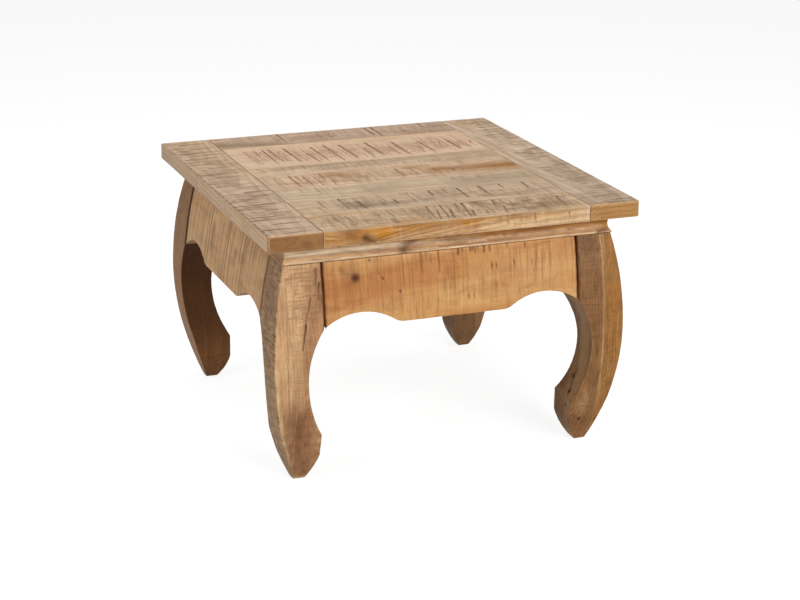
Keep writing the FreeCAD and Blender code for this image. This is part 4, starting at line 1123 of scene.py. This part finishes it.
APRON_WOODS = {
    "front": Wood(
        (212, 162, 103), (190, 131, 75), (126, 68, 30), warm=(176, 104, 48), rings=0.05, fibres=0.0,
        sawn=0.5, saw_gap=1.8, bold=0.16, patches=0.9, mottled=0.3, pores=0.04, stroke=(84, 40, 20)),
    "left": Wood(
        (230, 186, 138), (204, 157, 110), (118, 76, 44), warm=(150, 104, 66), rings=0.05, fibres=0.0,
        sawn=0.55, saw_gap=2.4, bold=0.1, patches=0.8, mottled=0.25, pores=0.06, stroke=(112, 68, 38)),
    "right": Wood(
        (196, 156, 114), (174, 132, 92), (122, 84, 52), rings=0.08, fibres=0.08, sawn=0.5, saw_gap=2.6,
        bold=0.2),
    "back": Wood(
        (196, 154, 112), (172, 130, 88), (120, 84, 52), rings=0.08, fibres=0.08, sawn=0.45, saw_gap=2.2,
        bold=0.2),
}
APRON_MARKS = {
    "front": knot((-157, 321), 15)
    + knot((-113.5, 316), 4)
    + knot((-87, 293), 4.5)
    + knot((-133, 345), 3.5)
    + patches(STROKE_AND_SHADE, (-178, 334, -152, 318, 8, 0.5), (-163, 330, 312, 22, 0.4))
    + patches(
        WARM_TINT_AND_PAINTED_LIGHT, (-196, 330, 262, 26, 0.55), (-170, 312, -140, 330, 34, 0.45), (-160, 285, -110, 300, 40, 0.5),
        (-110, 330, -60, 280, 40, 0.35), (-40, 316, 262, 24, 0.5), (-50, 345, -10, 330, 26, 0.4),
        (-90, 340, 270, 16, 0.3), (-30, 256, 60, 252, 10, 0.35))
    + strokes(
        (10, 352, 339, 3.6, 1), (17, 351, 343, 2.4, 0.75), (30, 352, 342, 2.9, 1), (34, 352, 343, 2.4, 1),
        (38, 352, 341, 2.9, 0.94), (42, 352, 344, 2.4, 0.94), (53, 352, 340, 3.6, 1),
        (62, 352, 341, 3.1, 1), (75, 352, 330, 1.7, 0.56), (91, 351, 342, 2.6, 0.75),
        (101, 322, 314, 2.4, 0.81), (121, 351, 340, 2.6, 0.81), (64, 322, 312, 2.9, 0.88),
        (72, 321, 313, 2.6, 0.81), (131, 318, 312, 2.2, 0.56), (157, 348, 330, 1.6, 0.44),
        (24, 278, 271, 2.4, 0.75), (33, 278, 272, 2.4, 0.69), (71, 292, 283, 2.4, 0.56),
        (108, 278, 272, 2.2, 0.44), (-120, 350, 322, 1.7, 0.62), (-115, 350, 335, 1.4, 0.5),
        (-138, 350, 328, 1.4, 0.44), (-80, 350, 300, 1.7, 0.62), (-50, 350, 318, 3.6, 0.56),
        (-42, 350, 334, 2.9, 0.5), (-22, 348, 316, 2.6, 0.69), (-8, 322, 306, 2.9, 0.44),
        (-34, 344, 330, 2.4, 0.44), (-66, 330, 268, 1.7, 0.38), (-100, 300, 262, 1.6, 0.38),
        (-6, 300, 252, 1.7, 0.38), (3, 340, 290, 1.4, 0.31), (47, 330, 262, 1.4, 0.31),
        (84, 340, 270, 1.4, 0.31), (140, 340, 290, 1.4, 0.28), (175, 345, 280, 1.4, 0.28),
        (-190, 340, 270, 1.6, 0.38), (-146, 310, 275, 1.4, 0.31))
    + faint_strokes((-200, 255), (200, 335), 90, True, 22, 61, 0.28)
    + faint_strokes((-204, 262), (204, 300), 150, True, 80, 62, 0.26, 1.5)
    + patches(
        WEAR_AND_HIGHLIGHT, (120, 300, 190, 300, 60, 0.18), (-206, 346, 204, 349, 3, 0.4), (40, 300, 100, 290, 30, 0.12)),
    "left": strokes(
        (-196, 345, 262, 2.6, 0.47), (-181, 345, 262, 2.6, 0.41), (-168, 345, 265, 3.1, 0.47),
        (-150, 345, 268, 2.6, 0.41), (-140, 345, 268, 3.1, 0.47), (-128, 345, 262, 2.6, 0.41),
        (-105, 345, 256, 3.9, 0.68), (-93, 345, 252, 4.5, 0.81), (-78, 335, 250, 3.4, 0.61),
        (-62, 345, 250, 2.6, 0.41), (-36, 345, 250, 2.9, 0.47), (-14, 345, 250, 4.2, 0.81),
        (-4, 345, 250, 3.4, 0.68), (20, 345, 250, 2.6, 0.47), (38, 345, 250, 2.6, 0.41),
        (84, 345, 250, 4.4, 0.81), (97, 345, 256, 3.4, 0.68), (118, 345, 262, 2.6, 0.47),
        (132, 345, 266, 2.6, 0.41), (152, 345, 268, 3.4, 0.54), (174, 345, 268, 2.6, 0.47),
        (192, 345, 260, 2.6, 0.47))
    + patches(
        STROKE_AND_SHADE, (66, 318, 284, 14, 0.62), (56, 306, 278, 10, 0.44), (-56, 308, 298, 14, 0.53),
        (-92, 312, 292, 9, 0.38), (20, 330, 300, 12, 0.25))
    + strokes(
        (-118, 345, 258, 3.9, 0.54), (-99, 345, 254, 3.9, 0.81), (-85, 345, 250, 3.9, 0.81),
        (-21, 345, 250, 3.9, 0.81), (-9, 345, 250, 3.1, 0.74), (74, 345, 250, 3.9, 0.68),
        (90, 345, 252, 3.9, 0.88), (104, 345, 256, 3.9, 0.54), (160, 345, 268, 3.9, 0.47),
        (184, 345, 262, 3.9, 0.41), (-160, 345, 268, 3.9, 0.34), layer=WEAR_AND_HIGHLIGHT)
    + patches(GREY_STAIN_AND_SHADE, (-200, 345, -80, 346, 26, 0.3)),
}


def curve_inset(height, extreme_inset, extreme_height, end_inset, end_height):
    """Inset of an arc that stands upright at its extreme and passes its end."""
    run, rise = end_inset - extreme_inset, end_height - extreme_height
    radius = (run ** 2 + rise ** 2) / (2 * run)
    return extreme_inset + radius - math.sqrt(radius ** 2 - (height - extreme_height) ** 2)


def outer_inset(height):
    """Inset of the legs' outer curve at a height."""
    size = sizes()
    if height > size.bulge_height:
        edge = HALF_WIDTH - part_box("moulding_front")[1].x
        return curve_inset(height, size.bulge_inset, size.bulge_height, edge, FRAME_UNDERSIDE)
    return curve_inset(height, size.bulge_inset, size.bulge_height, size.foot_outer_inset, 0.0)


def shoulder_height():
    """Height at which the aprons' lower edges meet the legs."""
    size = sizes()
    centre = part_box("apron_front")[0].z + size.scallop_rise - size.scallop_radius
    return centre + math.sqrt(size.scallop_radius ** 2 - size.scallop_run ** 2)


def scallop_height(inset):
    """Height of the aprons' lower edge at an inset from the end of the table."""
    size = sizes()
    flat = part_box("apron_front")[0].z
    centre = flat + size.scallop_rise - size.scallop_radius
    crest = size.leg_inner_inset + size.scallop_run
    wave = size.scallop_radius + size.return_radius
    rise = flat + size.return_radius - centre
    run = math.sqrt(wave ** 2 - rise ** 2)
    turn = crest + run * size.scallop_radius / wave
    if inset < turn:
        return centre + math.sqrt(size.scallop_radius ** 2 - (inset - crest) ** 2)
    if inset < crest + run:
        return flat + size.return_radius - math.sqrt(
            size.return_radius ** 2 - (crest + run - inset) ** 2)
    return flat


APRON_ROWS = 12
APRON_COLUMNS = 160
APRON_PITH = (-0.3, 0.28)


def shape_apron(blank, reach, back, low_z, high_z):
    """Moves the rows of the blank to the belly curve and its lower edge to the scallops."""
    edit(blank)
    divide_along(blank, 2, APRON_ROWS)
    divide_along(blank, 0, APRON_COLUMNS)
    for column in range(APRON_COLUMNS + 1):
        x = -reach + 2 * reach * column / APRON_COLUMNS
        lower = scallop_height(HALF_WIDTH - abs(x))
        squeeze = (high_z - lower) / (high_z - low_z)
        select(blank, "verts", lambda v: abs(v.co.x - x) < LEVEL)
        bpy.ops.transform.resize(value=(1, 1, squeeze), center_override=(x, 0, high_z))

    def on_face(vert):
        return vert.co.y < back - NEARLY_LEVEL

    mesh = bmesh.from_edit_mesh(blank.data)
    for level in sorted({round(v.co.z, 6) for v in mesh.verts if on_face(v)}):
        slide(blank, lambda v: round(v.co.z, 6) == level and on_face(v),
              (0, outer_inset(level) + sizes().apron_reveal, 0))
    round_edges(blank, is_arris, sizes().apron_arris, 3, clamp=True)
    leave_edit()


def apron_marks(face):
    """The marks on an apron's face, with the dark grooves where it meets the legs."""
    reach = (HALF_WIDTH - sizes().leg_inner_inset) / MILLIMETRE
    width = 12 if face in ("left", "right") else 7
    grooves = strokes(*((hand * reach, 350, 250, width, 1.0) for hand in (-1, 1)), soft=0.3)
    return {face: APRON_MARKS.get(face, []) + grooves}


class AddAprons(bpy.types.Operator):
    """Adds the four aprons, with belly faces and scalloped lower edges"""
    bl_idname = "coffee_table.aprons"
    bl_label = "Aprons"

    def execute(self, context):
        size = sizes()
        low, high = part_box("apron_front")
        reach = HALF_WIDTH - size.leg_inner_inset - size.joint_gap
        back = size.apron_inner_inset - HALF_DEPTH
        blank = add_block("apron_blank", (-reach, -HALF_DEPTH, low.z), (reach, back, high.z))
        shape_apron(blank, reach, back, low.z, high.z)
        divide_all(blank, 1)
        for place, turns in QUARTER_TURNS.items():
            piece = copy_of(blank, f"scalloped_apron_{place}")
            turn_piece(piece, turns)
            grain = turns % 2
            roughen(piece, grain, APRON_RELIEF)
            smooth_faces(piece)
            paint_marks(piece, apron_marks(place), 0.2)
            material = wood_material(
                f"apron_wood_{place}", APRON_WOODS[place], grain, APRON_SEED + turns, APRON_PITH,
                APRON_SLOPE)
            seat(piece, f"apron_{place}", material)
        bpy.data.objects.remove(blank)
        return {"FINISHED"}


# Legs

FRONT_LEFT_WOOD = Wood(
    (216, 172, 126), (176, 128, 88), (108, 66, 38), warm=(130, 80, 46), rings=0.12, ring_gap=5, fibres=0.22,
    sawn=0.22, saw_gap=2.2, patches=0.9, mottled=0.36, pores=0.18, stroke=(86, 46, 24))
LEG_WOODS = {
    "front_left": (FRONT_LEFT_WOOD, FRONT_LEFT_WOOD),
    "front_right": (
        Wood(
            (178, 130, 74), (146, 98, 48), (88, 52, 24), warm=(168, 104, 38), rings=0.3, ring_gap=5,
            fibres=0.35, sawn=0.12, saw_gap=2.4, patches=0.85, mottled=0.4, pores=0.2, stroke=(56, 28, 12)),
        Wood(
            (162, 116, 72), (132, 88, 50), (80, 48, 26), warm=(140, 92, 50), rings=0.25, ring_gap=5,
            fibres=0.3, sawn=0.16, saw_gap=2.4, patches=0.85, mottled=0.4, pores=0.3, stroke=(56, 28, 12))),
    # The back left leg's woods are dark brown throughout as painted shade under the table; its lit faces
    # are painted in the paler warm colour
    "back_left": (
        Wood(
            (134, 88, 48), (106, 66, 34), (56, 34, 18), warm=(174, 130, 90), rings=0.15, fibres=0.2,
            sawn=0.3, saw_gap=2.6, stroke=(80, 46, 20)),
        Wood(
            (134, 88, 48), (106, 66, 34), (56, 34, 18), warm=(174, 130, 90), rings=0.15, fibres=0.2,
            sawn=0.15, saw_gap=3.0, stroke=(80, 46, 20))),
    "back_right": (
        Wood((178, 136, 94), (152, 112, 74), (100, 68, 42), rings=0.2, sawn=0.4, bold=0.15),
        Wood((166, 124, 84), (140, 102, 66), (94, 64, 42), rings=0.2, sawn=0.4, bold=0.15)),
}
# How pale the legs' arrises are painted, partly as wear and partly as a painted highlight: most on the lit
# front legs and none on the shaded back left leg
LEG_ARRISES = {"front_left": 0.6, "front_right": 0.6, "back_left": 0.0, "back_right": 0.2}
LEG_MARKS = {
    "front_left": {
        "front": strokes((-208.6, 350, 249, 4, 1.0), soft=0.3)
        + strokes(
            (-228, 298, -233, 280, 2.2, 1.0), (-233, 282, -237, 258, 2.0, 0.9),
            (-237, 260, -243, 222, 2.8, 1.2), (-231, 300, -235, 262, 1.2, 0.4),
            (-240, 262, -238, 236, 1.2, 0.4), (-217, 340, -219, 318, 4, 0.9),
            (-214, 320, -216, 296, 4, 0.9), (-212, 302, -214, 280, 3, 0.7),
            (-222, 326, -221, 306, 1.6, 0.4), (-265, 330, -267, 210, 1.8, 0.5),
            (-267, 212, -262, 80, 1.8, 0.6), (-262, 82, -253, 20, 1.0, 0.4), (-254, 345, 250, 1.0, 0.2),
            (-247, 240, -250, 120, 1.2, 0.25), (-256, 230, -258, 130, 1.2, 0.25),
            (-238, 210, -240, 140, 1.2, 0.2), (-258, 343, -216, 341, 2, 0.35),
            (-257, 337, -218, 336, 2, 0.4), (-250, 331, -214, 329, 2.4, 0.4),
            (-246, 325, -214, 322, 2.4, 0.4), (-240, 318, -216, 315, 2.2, 0.4),
            (-236, 311, -216, 308, 2, 0.35), (-234, 304, -218, 301, 2, 0.3), (-230, 164, -240, 150, 3, 0.2),
            (-226, 150, -238, 134, 3, 0.3), (-224, 136, -238, 120, 3, 0.3))
        + patches(
            STROKE_AND_SHADE, (-216, 338, -214, 290, 11, 0.35), (-250, 104, -246, 82, 28, 0.45),
            (-246, 60, -236, 16, 20, 0.3), (-236, 30, -232, 12, 14, 0.5), (-222, 238, -226, 180, 10, 0.2))
        + rings_round((-226, 26), 6, 0.24, 22, 36, 52, 70)
        + patches(
            WARM_TINT_AND_PAINTED_LIGHT, (-250, 112, -244, 16, 46, 0.85), (-236, 250, -238, 190, 14, 0.35),
            (-226, 330, -222, 262, 20, 0.35))
        + faint_strokes((-266, 262), (-222, 345), 80, False, 22, 78, 0.5, 1.8)
        + faint_strokes((-262, 200), (-222, 262), 30, False, 20, 79, 0.35, 1.6)
        + faint_strokes((-268, 20), (-226, 140), 50, False, 22, 80, 0.4, 1.8)
        + faint_strokes((-258, 20), (-214, 330), 60, True, 40, 77, 0.3, 2.2)
        + patches(
            WEAR_AND_HIGHLIGHT, (-262, 240, 150, 16, 0.4), (-250, 300, -246, 180, 20, 0.25),
            (-240, 146, -250, 110, 12, 0.2), (-252, 3, -226, 3, 5, 0.6))
        # The pale strips along the outer arris are partly wear and partly a painted highlight
        + strokes(
            (-286, 196, -274, 84, 7, 1.0), (-282, 318, -286, 196, 6, 0.9), (-274, 84, -256, 30, 5, 0.7),
            layer=WEAR_AND_HIGHLIGHT),
        "left": patches(GREY_STAIN_AND_SHADE, (-250, 345, 20, 90, 0.7))
        + patches(STROKE_AND_SHADE, (-250, 345, 20, 90, 0.14))
        + faint_strokes((-292, 30), (-222, 345), 200, False, 18, 71, 0.75, 3)
        + faint_strokes((-292, 30), (-222, 345), 150, False, 14, 76, 0.6, 3, WEAR_AND_HIGHLIGHT)
        + strokes((-209, 350, 249, 8, 1.0), soft=0.4),
    },
    "front_right": {
        "front": strokes((208.6, 350, 249, 4, 0.9), soft=0.3)
        + knot((227.5, 41), 6.5, 3)
        + patches(GREY_STAIN_AND_SHADE, (222, 346, 322, 34, 0.45))
        + patches(WARM_TINT_AND_PAINTED_LIGHT, (272, 262, 150, 22, 0.6), (266, 330, 300, 16, 0.3), (262, 60, 258, 120, 16, 0.3))
        + patches(WEAR_AND_HIGHLIGHT, (226, 190, 228, 150, 10, 0.25), (228, 60, 236, 90, 18, 0.3))
        + strokes(
            (248.5, 348, 250.5, 300, 2.4, 0.5), (250.5, 302, 252, 246, 2.4, 0.55),
            (252, 248, 254, 120, 2.2, 0.4), (254, 122, 255.4, 54, 2.2, 0.4), layer=WEAR_AND_HIGHLIGHT)
        + strokes(
            (251.5, 300, 254.5, 180, 1.2, 0.5), (240, 290, 243, 200, 1.2, 0.3),
            (246, 280, 247, 190, 1.2, 0.3), (262, 300, 266, 200, 1.2, 0.3), (259, 262, 262, 120, 1.4, 0.35),
            (268, 230, 120, 1.2, 0.3), (238, 106, 244, 78, 2, 0.35), (242, 104, 248, 74, 2, 0.3),
            (234, 96, 236, 70, 2, 0.25), (244, 190, 246, 120, 1.6, 0.35))
        + faint_strokes((212, 180), (236, 330), 90, False, 20, 72, 0.5, 2.0)
        + faint_strokes((256, 90), (278, 260), 120, False, 8, 73, 0.3, 2.0)
        + patches(
            STROKE_AND_SHADE, (240, 70, 246, 250, 12, 0.25), (226, 346, 230, 200, 30, 0.25),
            (246, 120, 244, 60, 14, 0.3))
        + rings_round((227.5, 41), 3, 0.3, 9, 13, 18, 24),
        "left": knot((-253.6, 87), 8)
        + knot((-247, 110), 9)
        + knot((-250, 62), 5)
        + strokes((-248, 118, -254, 60, 2.6, 0.6), (-240, 200, -246, 120, 2.0, 0.4))
        + patches(WARM_TINT_AND_PAINTED_LIGHT, (-250, 260, 90, 90, 0.5))
        + patches(STROKE_AND_SHADE, (-214, 260, -222, 90, 14, 0.4))
        # The pale patch on the left face is painted light, lifting a face that little light reaches under
        # the table
        + patches(WEAR_AND_HIGHLIGHT, (-262, 250, -258, 60, 34, 0.5)),
    },
    # The back left leg: the front and right faces are darkened as painted shade under the table, and the
    # left and back faces, which take the light, are painted in the pale warm colour
    "back_left": {
        "left": faint_strokes((210, 40), (288, 345), 170, False, 20, 74, 0.4)
        + strokes((209, 350, 249, 7, 1.0), soft=0.4)
        + strokes((250, 0, 350, 140, 1.2), layer=WARM_TINT_AND_PAINTED_LIGHT, soft=0.1),
        "back": strokes((-250, 0, 350, 140, 1.0), layer=WARM_TINT_AND_PAINTED_LIGHT, soft=0.1),
        "front": strokes((-250, 350, 150, 150, 1.05), soft=0.4)
        + strokes((-262, 42, -214, 45, 3, 0.4), (-240, 78, -208, 80, 4, 0.3), (-268, 64, -240, 62, 5, 0.2)),
        "right": patches(STROKE_AND_SHADE, (250, 345, 245, 20, 120, 0.6)),
    },
    # The back right leg's left and front faces, under the table, are darkened as painted shade
    "back_right": {
        "left": patches(STROKE_AND_SHADE, (250, 345, 245, 20, 110, 0.4)),
        "front": patches(STROKE_AND_SHADE, (240, 345, 245, 20, 110, 0.4)),
    },
}


def inner_inset(height):
    """Inset of the legs' inner curve at a height."""
    size = sizes()
    if height <= size.toe_height:
        foot = size.foot_outer_inset + size.foot_size
        run = size.leg_inner_inset - foot
        share = height / size.toe_height
        bulge = size.toe_bulge * math.hypot(run, size.toe_height) / size.toe_height
        return foot + run * share + bulge * 4 * share * (1 - share)
    if height <= size.hoof_height or height >= shoulder_height():
        return size.leg_inner_inset
    end = size.hoof_height if height < size.hollow_height else shoulder_height()
    return curve_inset(height, size.hollow_inset, size.hollow_height, size.leg_inner_inset, end)


# Rings of a leg lie about this far apart, and its faces are divided between edges longer than this
LEG_RING_GAP = 0.0058
LEG_FACE = 0.009
LEG_FACE_CELLS = 10
FOOT_ARRIS = 0.0012
# The pith of the back right leg, and of the others with the signs of their corners
LEG_PITH = (0.2, 0.31)


def leg_heights():
    """The levels of a leg's rings, close together, with one at each turn of its outline."""
    size = sizes()
    turns = [0.0, size.toe_height, size.hoof_height, size.hollow_height, size.bulge_height,
             shoulder_height(), FRAME_UNDERSIDE]
    levels = [0.0]
    for start, end in zip(turns, turns[1:]):
        steps = max(round((end - start) / LEG_RING_GAP), 1)
        levels += [start + (end - start) * step / steps for step in range(1, steps + 1)]
    return levels


def draw_up_leg(name):
    """The front left leg, drawn up ring by ring from its foot."""
    deselect_all()
    rings = [(outer_inset(level), inner_inset(level), level) for level in leg_heights()]
    near, far, level = rings[0]
    middle = (near + far) / 2
    bpy.ops.mesh.primitive_plane_add(
        size=far - near, location=(middle - HALF_WIDTH, middle - HALF_DEPTH, level))
    apply_place()
    leg = name_piece(bpy.context.object, name)
    edit(leg)
    bpy.ops.mesh.select_all(action="SELECT")
    for (near, far, level), (next_near, next_far, next_level) in zip(rings, rings[1:]):
        step = ((next_near + next_far) - (near + far)) / 2
        bpy.ops.mesh.extrude_region_move(
            TRANSFORM_OT_translate={"value": (step, step, next_level - level)})
        grow = (next_far - next_near) / (far - near)
        middle = (next_near + next_far) / 2
        bpy.ops.transform.resize(
            value=(grow, grow, 1), center_override=(middle - HALF_WIDTH, middle - HALF_DEPTH, next_level))
    leave_edit()
    face_outwards(leg)
    return leg


def ease_leg(leg):
    """Rounds the leg's arrises, the outer one most, and divides its faces for their marks."""
    size = sizes()
    edit(leg)

    def upright(edge):
        return abs(edge.verts[0].co.z - edge.verts[1].co.z) > NEARLY_LEVEL

    def at_outer_arris(vert):
        inset = outer_inset(vert.co.z)
        return (abs(vert.co.x + HALF_WIDTH - inset) < NEARLY_LEVEL
                and abs(vert.co.y + HALF_DEPTH - inset) < NEARLY_LEVEL)

    def at_foot(edge):
        return all(vert.co.z < LEVEL for vert in edge.verts)

    round_edges(leg, lambda edge: upright(edge) and all(at_outer_arris(v) for v in edge.verts),
                size.outer_arris, 3)
    round_edges(leg, lambda edge: upright(edge) and is_arris(edge, 1.2), size.inner_arris, 3)
    round_edges(leg, lambda edge: at_foot(edge) and is_arris(edge), FOOT_ARRIS, 2)
    for axis in (0, 1):
        select(leg, "edges", lambda edge: not upright(edge) and runs_along(edge, axis)
               and edge.calc_length() > LEG_FACE)
        bpy.ops.mesh.subdivide(number_cuts=LEG_FACE_CELLS - 1)
    leave_edit()
    divide_all(leg, 2)


def mirror_leg(leg, name, side, end):
    """A copy of the front left leg in another corner, mirrored across the table."""
    piece = copy_of(leg, name)
    if side > 0 or end > 0:
        piece.scale = (-side, -end, 1)
        apply_place()
        face_outwards(piece)
    return piece


def saw_off(piece, plane_x, side, keep_outer):
    """Leaves the part of a leg on one side of its glue line."""
    edit(piece)
    bpy.ops.mesh.select_all(action="SELECT")
    bpy.ops.mesh.bisect(
        plane_co=(plane_x, 0, 0), plane_no=(side, 0, 0), use_fill=True,
        clear_inner=keep_outer, clear_outer=not keep_outer)
    leave_edit()


class AddLegs(bpy.types.Operator):
    """Adds the four curved legs, each of two boards glued face to face"""
    bl_idname = "coffee_table.legs"
    bl_label = "Legs"

    def execute(self, context):
        pattern = draw_up_leg("leg_pattern")
        ease_leg(pattern)
        for number, (place, (side, end)) in enumerate(CORNERS.items()):
            leg = mirror_leg(pattern, f"curved_leg_{place}", side, end)
            roughen(leg, 2, LEG_RELIEF)
            plane_x = side * (HALF_WIDTH - sizes().glue_line_inset)
            for layer, wood, keep_outer in zip(("outer", "inner"), LEG_WOODS[place], (True, False)):
                piece = copy_of(leg, f"curved_leg_{place}_{layer}")
                saw_off(piece, plane_x, side, keep_outer)
                smooth_faces(piece)
                paint_marks(piece, LEG_MARKS[place], LEG_ARRISES[place])
                one_wood = LEG_WOODS[place][0] is LEG_WOODS[place][1]
                seed = LEG_SEED + number * 2 + (0 if one_wood else keep_outer)
                pith = (side * LEG_PITH[0], end * LEG_PITH[1])
                material = wood_material(f"leg_wood_{place}_{layer}", wood, 2, seed, pith, LEG_SLOPE)
                seat(piece, f"leg_{place}_{layer}", material)
            bpy.data.objects.remove(leg)
        bpy.data.objects.remove(pattern)
        return {"FINISHED"}


# Hidden parts

BLOCK_PITH = (0.1, 0.1)


class FinishHiddenParts(bpy.types.Operator):
    """Gives the corner blocks, dowels and screws their wood and steel"""
    bl_idname = "coffee_table.hidden_parts"
    bl_label = "Blocks, Dowels and Screws"

    def execute(self, context):
        block_wood = Wood((186, 148, 104), (164, 124, 82), (118, 82, 50), rings=0.35, bold=0.2)
        bare = wood_material("bare_wood", block_wood, 2, BLOCK_SEED, BLOCK_PITH, BLOCK_SLOPE)
        zinc = steel_material()
        for name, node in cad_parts.items():
            if name in ("top_screws", "corner_block_screws"):
                material = zinc
            elif name.startswith("corner_block_") or name == "moulding_dowels":
                material = bare
            else:
                continue
            node.data.materials.clear()
            node.data.materials.append(material)
        return {"FINISHED"}


# Stage

FLOOR_SIZE = 30
FLOOR_DROP = 0.0003
# Each light's place and the length of its side, and the point that they face
LIGHTS = {
    "key": ((0.9, -3.1, 1.5), 2.0),
    "fill": ((-2.8, -0.9, 1.5), 2.0),
    "over": ((0.1, 0.5, 2.7), 1.8),
}
LIGHTS_AIM = (0, 0, 0.25)


class SetStage(bpy.types.Operator):
    """Sets the floor, the soft lights, the sky and the camera"""
    bl_idname = "coffee_table.stage"
    bl_label = "Stage"

    def execute(self, context):
        self.lay_floor()
        self.hang_lights()
        self.light_sky()
        self.place_camera()
        bpy.context.scene.view_settings.view_transform = "Standard"
        return {"FINISHED"}

    def lay_floor(self):
        deselect_all()
        bpy.ops.mesh.primitive_plane_add(size=FLOOR_SIZE, location=(0, 0, -FLOOR_DROP))
        floor = name_piece(bpy.context.object, "floor")
        apply_place()
        shader = Shader("pale_floor")
        rays = shader.add("ShaderNodeLightPath")
        seen = shader.math("MAXIMUM", rays.outputs["Is Camera Ray"], rays.outputs["Is Glossy Ray"])
        pale = shader.blend(seen, colours().floor, colours().floor_seen)
        shader.feed(shader.surface.inputs["Base Color"], pale)
        shader.surface.inputs["Roughness"].default_value = 0.9
        shader.surface.inputs["Specular IOR Level"].default_value = 0.0
        shader.surface.inputs["Emission Color"].default_value = (1, 1, 1, 1)
        glow = shader.times(seen, bpy.context.scene.coffee_table_stage.floor_glow)
        shader.feed(shader.surface.inputs["Emission Strength"], glow)
        floor.data.materials.append(shader.material)

    def hang_lights(self):
        stage = bpy.context.scene.coffee_table_stage
        for name, (place, size) in LIGHTS.items():
            light = bpy.data.lights.new(name, "AREA")
            light.size = size
            light.energy = getattr(stage, name + "_power")
            lamp = bpy.data.objects.new(name, light)
            lamp.location = place
            aim = Vector(LIGHTS_AIM) - Vector(place)
            lamp.rotation_euler = aim.to_track_quat("-Z", "Y").to_euler()
            bpy.context.collection.objects.link(lamp)

    def light_sky(self):
        world = bpy.data.worlds.new("studio")
        world.use_nodes = True
        tree = world.node_tree
        sky = tree.nodes["Background"]
        sky.inputs["Color"].default_value = (1, 1, 1, 1)
        path = tree.nodes.new("ShaderNodeLightPath")
        level = tree.nodes.new("ShaderNodeMapRange")
        level.inputs["To Min"].default_value = bpy.context.scene.coffee_table_stage.sky_strength
        level.inputs["To Max"].default_value = 1.0
        tree.links.new(path.outputs["Is Camera Ray"], level.inputs["Value"])
        tree.links.new(level.outputs[0], sky.inputs["Strength"])
        bpy.context.scene.world = world

    def place_camera(self):
        stage = bpy.context.scene.coffee_table_stage
        camera = bpy.data.cameras.new("photo_view")
        camera.sensor_width = 36
        camera.sensor_fit = "HORIZONTAL"
        camera.lens = stage.lens
        heading, fall, roll = stage.camera_heading, stage.camera_fall, stage.camera_roll
        forward = Vector((
            math.sin(heading) * math.cos(fall), math.cos(heading) * math.cos(fall), -math.sin(fall)))
        level = Vector((math.cos(heading), -math.sin(heading), 0))
        upright = level.cross(forward)
        right = level * math.cos(roll) + upright * math.sin(roll)
        up = upright * math.cos(roll) - level * math.sin(roll)
        viewer = bpy.data.objects.new("photo_view", camera)
        viewer.matrix_world = Matrix.Translation(stage.camera_place) @ Matrix(
            (right, up, -forward)).transposed().to_4x4()
        bpy.context.collection.objects.link(viewer)
        bpy.context.scene.camera = viewer


class CoffeeTablePanel(bpy.types.Panel):
    """Lists the table's pieces, sizes and colours"""
    bl_idname = "VIEW3D_PT_coffee_table"
    bl_label = "Coffee Table"
    bl_space_type = "VIEW_3D"
    bl_region_type = "UI"
    bl_category = "Coffee Table"

    def draw(self, context):
        for operator in OPERATORS:
            self.layout.operator(operator.bl_idname)
        for group in ("coffee_table_sizes", "coffee_table_colours", "coffee_table_stage"):
            box = self.layout.box()
            settings = getattr(context.scene, group)
            for name in settings.bl_rna.properties.keys():
                if name not in ("rna_type", "name"):
                    box.prop(settings, name)


GROUPS = {
    "coffee_table_sizes": CoffeeTableSizes,
    "coffee_table_colours": CoffeeTableColours,
    "coffee_table_stage": CoffeeTableStage,
}
OPERATORS = (
    AddFieldBoards,
    AddEndBoards,
    AddMouldings,
    AddAprons,
    AddLegs,
    FinishHiddenParts,
    SetStage,
)


def register():
    for name, group in GROUPS.items():
        bpy.utils.register_class(group)
        setattr(bpy.types.Scene, name, bpy.props.PointerProperty(type=group))
    for operator in OPERATORS:
        bpy.utils.register_class(operator)
    bpy.utils.register_class(CoffeeTablePanel)


def unregister():
    bpy.utils.unregister_class(CoffeeTablePanel)
    for operator in reversed(OPERATORS):
        bpy.utils.unregister_class(operator)
    for name, group in GROUPS.items():
        delattr(bpy.types.Scene, name)
        bpy.utils.unregister_class(group)


def main():
    register()
    bpy.ops.coffee_table.field_boards()
    bpy.ops.coffee_table.end_boards()
    bpy.ops.coffee_table.mouldings()
    bpy.ops.coffee_table.aprons()
    bpy.ops.coffee_table.legs()
    bpy.ops.coffee_table.hidden_parts()
    bpy.ops.coffee_table.stage()
    deselect_all()


if __name__ == "__main__":
    main()
